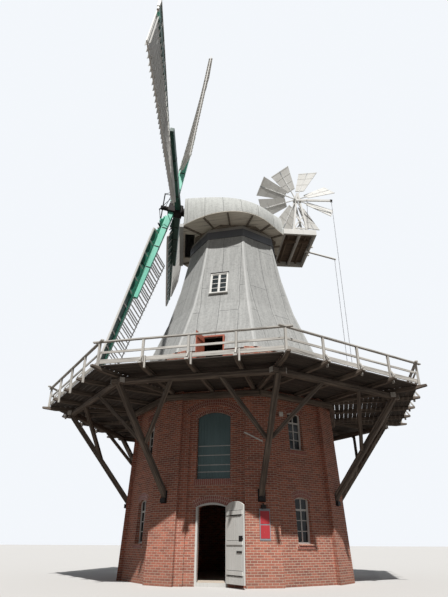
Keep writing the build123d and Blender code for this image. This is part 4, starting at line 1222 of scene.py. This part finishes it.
fan = {
    "centre": (-4.2, -0.45, 21.6), "blades": 8, "pitch": 32, "root": 0.75, "tip": 2.55,
    "rootWidth": 0.60, "tipWidth": 1.35, "ribShares": (0.03, 0.36, 0.68, 0.97), "ribInset": 0.03,
    "ribSize": (0.052, 0.05), "sparSize": (0.034, 0.064), "sparExtra": 0.3, "sparShift": 0.16,
    "postGap": 0.455, "postTop": 21.73, "postFoot": 17.53, "legTop": 0.02, "legSpread": 0.60,
    "braceLevels": (17.75, 18.95, 19.95), "braceSize": (0.035, 0.075), "braceShift": 0.022,
    "railLevel": 18.95, "railSize": (0.05, 0.08),
}


def buildFanBlades():
    f = fan
    wheel = capPlace @ at(*f["centre"])
    turn = radians(f["pitch"])
    radial, normal = Vector((0, 0, 1)), Vector((sin(turn), cos(turn), 0))
    across = normal.cross(radial)
    bladeTurn = Matrix((across, -radial.cross(across), radial)).transposed().to_4x4()
    ribs, spars = [], []
    for step in range(f["blades"]):
        spin = wheel @ rotation(360 / f["blades"] * (step + 0.5), "Y")
        for share in f["ribShares"]:
            reach = f["root"] + (f["tip"] - f["root"]) * share
            width = f["rootWidth"] + (f["tipWidth"] - f["rootWidth"]) * share - f["ribInset"]
            ribs.append(put(addCube((width, *f["ribSize"])), spin @ at(0, 0, reach) @ bladeTurn))
        spar = addCube((*f["sparSize"], f["tip"] - f["root"] + f["sparExtra"]))
        middle = (f["tip"] + f["root"]) / 2 - f["sparShift"]
        spars.append(put(spar, spin @ at(0, 0, middle) @ bladeTurn))
    finished(ribs, "fanBladeRibs", "fan", whitePaint, slot="white_paint")
    finished(spars, "fanBladeSpars", "fan", greyBoard, slot="dark_paint")


def buildFanBraces():
    f = fan
    middle = f["centre"][0]

    def leg(level):  # how far a leg stands from the wheel's axis
        return f["legTop"] + f["legSpread"] * (f["postTop"] - level) / (f["postTop"] - f["postFoot"])

    braces = []
    for side in (-1, 1):
        row = f["centre"][1] + side * f["postGap"]
        for low, high in zip(f["braceLevels"], f["braceLevels"][1:]):
            for way in (-1, 1):
                start = Vector((middle - way * leg(low), row + way * f["braceShift"], low))
                end = Vector((middle + way * leg(high), row + way * f["braceShift"], high))
                brace = addBeam((end - start).length, *f["braceSize"], 0.004)
                braces.append(put(brace, capPlace @ between(start, end)))
        rail = addBeam(2 * leg(f["railLevel"]), *f["railSize"], 0.004)
        braces.append(put(rail, capPlace @ at(middle, row, f["railLevel"])))
    finished(braces, "fanPostBraces", "cap", whitePaint, slot="white_paint")


lever = {
    "ringPlace": (-6.39, 0.11, 21.09), "ringRadius": 0.055, "ringWire": 0.012,
    "plateSize": (0.16, 0.104, 0.124), "platePlace": (-6.37, 0.11, 21.206),
    "rodLength": 3.4, "rodSize": 0.022, "rodTop": (-4.75, 0.185, 21.12), "rodFoot": (-4.60, 0.185, 17.72),
}


def buildLeverIron():
    v = lever
    ring = addRing(v["ringRadius"], v["ringWire"], 20, 8)
    put(ring, capPlace @ at(*v["ringPlace"]) @ rotation(90, "X"))
    plate = put(addCube(v["plateSize"]), capPlace @ at(*v["platePlace"]))
    rod = addBeam(v["rodLength"], v["rodSize"], v["rodSize"], 0.003)
    put(rod, capPlace @ between(v["rodTop"], v["rodFoot"]))
    finished([ring, plate, rod], "leverIron", "cap", blackIron, slot="iron")


buildChain()
buildStage()
buildFanBlades()
buildFanBraces()
buildLeverIron()
print("stage: tail built")

# Sails; an arm is drawn upwards with the shaft towards +X.
# A sleeve, cheek, board, bar or lath is first drawn flat, with its length along X.

sails = {
    "hub": (3.65, 0, 19.78), "shaftTilt": -12.7, "stockShift": 0.18, "lean": 2.8, "whipFront": 0.22,
    "drive": 2.96, "length": 12.5, "heel": 19, "tip": 5, "barPitch": 0.86, "barCount": 12,
}
hubPlace = capPlace @ at(*sails["hub"]) @ rotation(sails["shaftTilt"], "Y")
spinPlace = hubPlace @ rotation(-90, "X")
barLevels = [sails["drive"] + sails["barPitch"] * k for k in range(-1, sails["barCount"])]


def armPlace(index):
    shift = sails["stockShift"] if index % 2 else -sails["stockShift"]
    return spinPlace @ rotation(90 * index, "X") @ at(shift, 0, 0) @ rotation(sails["lean"], "Y")


def weather(level):  # the sail's twist, from heel to tip
    share = max((level - sails["drive"]) / (sails["length"] - sails["drive"]), 0)
    return radians(sails["heel"] + (sails["tip"] - sails["heel"]) * share)


def onLeadingSide(piece, place, level=0.0, reach=0.0):  # lays a flat piece on the twisted surface
    for vertex in piece.data.vertices:
        height, distance, lift = vertex.co.x + level, vertex.co.y + reach, vertex.co.z
        turn = weather(height)
        vertex.co = (sails["whipFront"] + distance * sin(turn) + lift * cos(turn),
                     -distance * cos(turn) - lift * sin(turn), height)
    return put(piece, place)


arm = {
    "sleeveStart": 0.595, "sleeveLength": 11.90, "sleeveSize": (0.196, 0.146), "sleeveFront": 0.22,
    "sleeveDrop": 0.035, "depthTaper": 0.49, "widthTaper": 0.41,
    "cheekStart": 0.76, "stockReach": 6.5, "cheekReach": 0.44, "cheekWidth": 0.34, "cheekDepth": 0.064,
    "scallop": 0.24, "scallopStart": 0.12, "scallopSpan": 0.76, "scallopRound": 0.7,
    "boardEdge": 0.645, "boardGap": 0.052, "boardDepth": 0.018, "tipBoardStart": 0.09, "boardStart": 0.22,
    "barSize": (0.09, 0.46, 0.11), "barMiddle": 0.44,
    "lathSize": (0.054, 0.10), "lathMiddle": 0.674, "lathExtra": 0.05,
}


def addSleeve():
    a = arm
    sleeve = addBeam(a["sleeveLength"], *a["sleeveSize"], 0.012, 1)
    for vertex in sleeve.data.vertices:
        share = (vertex.co.x + a["sleeveLength"] / 2) / a["sleeveLength"]
        front = a["sleeveFront"] - a["sleeveDrop"] * share
        vertex.co = Vector((front + vertex.co.z * (1 - a["depthTaper"] * share),
                            vertex.co.y * (1 - a["widthTaper"] * share),
                            a["sleeveStart"] + a["sleeveLength"] * share))
    return sleeve


def addCheek():  # straight on the stock, with a scallop between two sail bars
    a = arm
    cheek = addBeam(a["stockReach"] - a["cheekStart"], a["cheekWidth"], a["cheekDepth"], 0.006, 90)
    for vertex in cheek.data.vertices:
        level = vertex.co.x + (a["stockReach"] + a["cheekStart"]) / 2
        if vertex.co.y > 0:
            phase = ((level - barLevels[0]) / sails["barPitch"]) % 1
            along = min(max((phase - a["scallopStart"]) / a["scallopSpan"], 0), 1)
            edge = a["cheekReach"] - a["scallop"] * sin(pi * along) ** a["scallopRound"]
            vertex.co.y += edge - a["cheekWidth"] / 2
        else:
            vertex.co.y += a["cheekWidth"] / 2
        vertex.co.x = level
    return cheek


def buildArmTimbers():
    a = arm
    mint, dark, boards, laths = [], [], [], []
    for index in range(4):
        place = armPlace(index)
        # arms 1 and 3 are in mint and arms 0 and 2 in near-black green: partly the stock's two paints, partly
        # painted shade
        timbers = mint if index % 2 else dark
        timbers.append(put(addSleeve(), place))
        timbers.append(onLeadingSide(addCheek(), place))
        for level in barLevels[:-1]:
            atTip = level > a["stockReach"] - sails["barPitch"]
            start = a["tipBoardStart"] if atTip else a["boardStart"]
            board = addBeam(sails["barPitch"] - a["boardGap"], a["boardEdge"] - start, a["boardDepth"], 0.003)
            boards.append(onLeadingSide(board, place, level + sails["barPitch"] / 2,
                                        (a["boardEdge"] + start) / 2))
        for level in barLevels:
            laths.append(onLeadingSide(addCube(a["barSize"]), place, level, a["barMiddle"]))
        lath = addBeam(barLevels[-1] - barLevels[0] + a["lathExtra"], *a["lathSize"], 0.005, 24)
        laths.append(onLeadingSide(lath, place, (barLevels[-1] + barLevels[0]) / 2, a["lathMiddle"]))
    finished(mint, "mintArmTimbers", "sails", mintPaint, "stock_cheeks", slot="mint_paint")
    finished(dark, "greenPaintAndShadeArmTimbers", "sails", darkGreen, slot="green_paint")
    finished(laths, "leadingEdgeLaths", "sails", whitePaint, slot="white_paint")
    finished(boards, "leadingSailBoards", "sails", darkGreen, "leading_boards", slot="green_paint")


armIron = {
    "bands": (1.55, 2.95, 4.45), "bandWidth": 0.07, "stockSize": (0.30, 0.32), "stockTaper": 0.3,
    "taperStart": 0.62, "taperLength": 5.88, "bandProud": 0.016, "strapSize": (0.07, 0.50, 0.078),
    "strapMiddle": 0.23, "tipFront": 0.186, "tipSize": (0.084, 0.122, 0.30), "tipLevel": 12.24,
    "endSize": (0.088, 0.126, 0.10), "endLevel": 12.43,
}


def buildArmIron():
    a = armIron
    bands, tips, ends = [], [], []
    for index in range(4):
        place = armPlace(index)
        for level in a["bands"]:
            share = 1 - a["stockTaper"] * (level - a["taperStart"]) / a["taperLength"]
            depth, width = (size * share + a["bandProud"] for size in a["stockSize"])
            bands.append(put(addCube((depth, width, a["bandWidth"])), place @ at(0, 0, level)))
            bands.append(onLeadingSide(addCube(a["strapSize"]), place, level, a["strapMiddle"]))
        tips.append(put(addCube(a["tipSize"]), place @ at(a["tipFront"], 0, a["tipLevel"])))
        ends.append(put(addCube(a["endSize"]), place @ at(a["tipFront"], 0, a["endLevel"])))
    finished(bands, "stockBands", "sails", blackIron, slot="iron")
    finished(tips, "whipEndsMint", "sails", mintPaint, slot="mint_paint")
    finished(ends, "whipEndsWhite", "sails", whitePaint, slot="white_paint")


spiderRods = {
    "corner": (0.82, 0, 0.86), "foot": (0.36, 0.12, 1.25), "rodSize": 0.032,
    "crankSize": (0.16, 0.10, 0.22), "crankPlace": (0.30, 0, 1.25),
    "pinSize": (0.10, 0.16, 0.10), "pinPlace": (0.38, 0, 1.55),
}


def buildSpiderRods():
    s = spiderRods
    front, side, level = s["foot"]
    rods, blocks = [], []
    for index in range(4):
        corner = spinPlace @ rotation(90 * index + 45, "X") @ Vector(s["corner"])
        for other, way in ((index, -1), ((index + 1) % 4, 1)):
            foot = armPlace(other) @ Vector((front, way * side, level))
            rod = addBeam((foot - corner).length, s["rodSize"], s["rodSize"], 0.004)
            rods.append(put(rod, between(corner, foot, (0.3, 0.1, 1))))
        rods.append(put(addCube(s["crankSize"]), armPlace(index) @ at(*s["crankPlace"])))
        blocks.append(put(addCube(s["pinSize"]), armPlace(index) @ at(*s["pinPlace"])))
    finished(rods, "spiderRods", "sails", blackIron, slot="iron")
    finished(blocks, "spiderBlocks", "sails", whitePaint, slot="white_paint")


buildArmTimbers()
buildArmIron()
buildSpiderRods()
print("stage: sails built")

# Floor, light and the last lines

studio = {
    "floorSize": 900, "floorColour": rgb(0.62, 0.61, 0.595), "floorBounce": rgb(0.165, 0.148, 0.13),
    "backdrop": rgb(0.90, 0.93, 0.97), "skyColour": rgb(0.86, 0.92, 1.0), "skyStrength": 0.15,
    "sunAzimuth": -75, "sunHeight": 53, "sunStrength": 4.4, "sunSpread": 1.0, "sunColour": (1.0, 0.98, 0.95),
}


def buildStudio():
    s = studio
    deselectAll()
    bpy.ops.mesh.primitive_plane_add(size=s["floorSize"])
    floor = bpy.context.object
    floor.name = "studioFloor"
    material, tree, shader = blankMaterial("paleFloor")
    rays = addNode(tree, "LightPath").outputs
    tone = mixColours(tree, rays["Is Camera Ray"], s["floorBounce"], s["floorColour"])
    tree.links.new(tone, shader.inputs["Base Color"])
    shader.inputs["Roughness"].default_value = 0.9
    floor.data.materials.append(material)

    data = bpy.data.lights.new("softSun", "SUN")
    data.energy = s["sunStrength"]
    data.angle = radians(s["sunSpread"])
    data.color = s["sunColour"]
    sun = bpy.data.objects.new("softSun", data)
    azimuth, height = radians(s["sunAzimuth"]), radians(s["sunHeight"])
    towards = Vector((cos(azimuth) * cos(height), sin(azimuth) * cos(height), sin(height)))
    sun.rotation_mode = "QUATERNION"
    sun.rotation_quaternion = towards.to_track_quat("Z", "Y")
    bpy.context.scene.collection.objects.link(sun)

    world = bpy.data.worlds.new("studioWorld")
    bpy.context.scene.world = world
    world.use_nodes = True
    tree = world.node_tree
    tree.nodes.clear()
    rays = addNode(tree, "LightPath").outputs
    seen = maths(tree, "MAXIMUM", rays["Is Camera Ray"],
                 maths(tree, "MAXIMUM", rays["Is Glossy Ray"], rays["Is Transmission Ray"]))
    soft = addNode(tree, "Background", {0: s["skyColour"], 1: s["skyStrength"]})
    plain = addNode(tree, "Background", {0: s["backdrop"], 1: 1.0})
    both = addNode(tree, "MixShader", {0: seen, 1: soft.outputs[0], 2: plain.outputs[0]})
    addNode(tree, "OutputWorld", {0: both.outputs[0]})
    bpy.context.scene.view_settings.view_transform = "Standard"


buildStudio()
deselectAll()
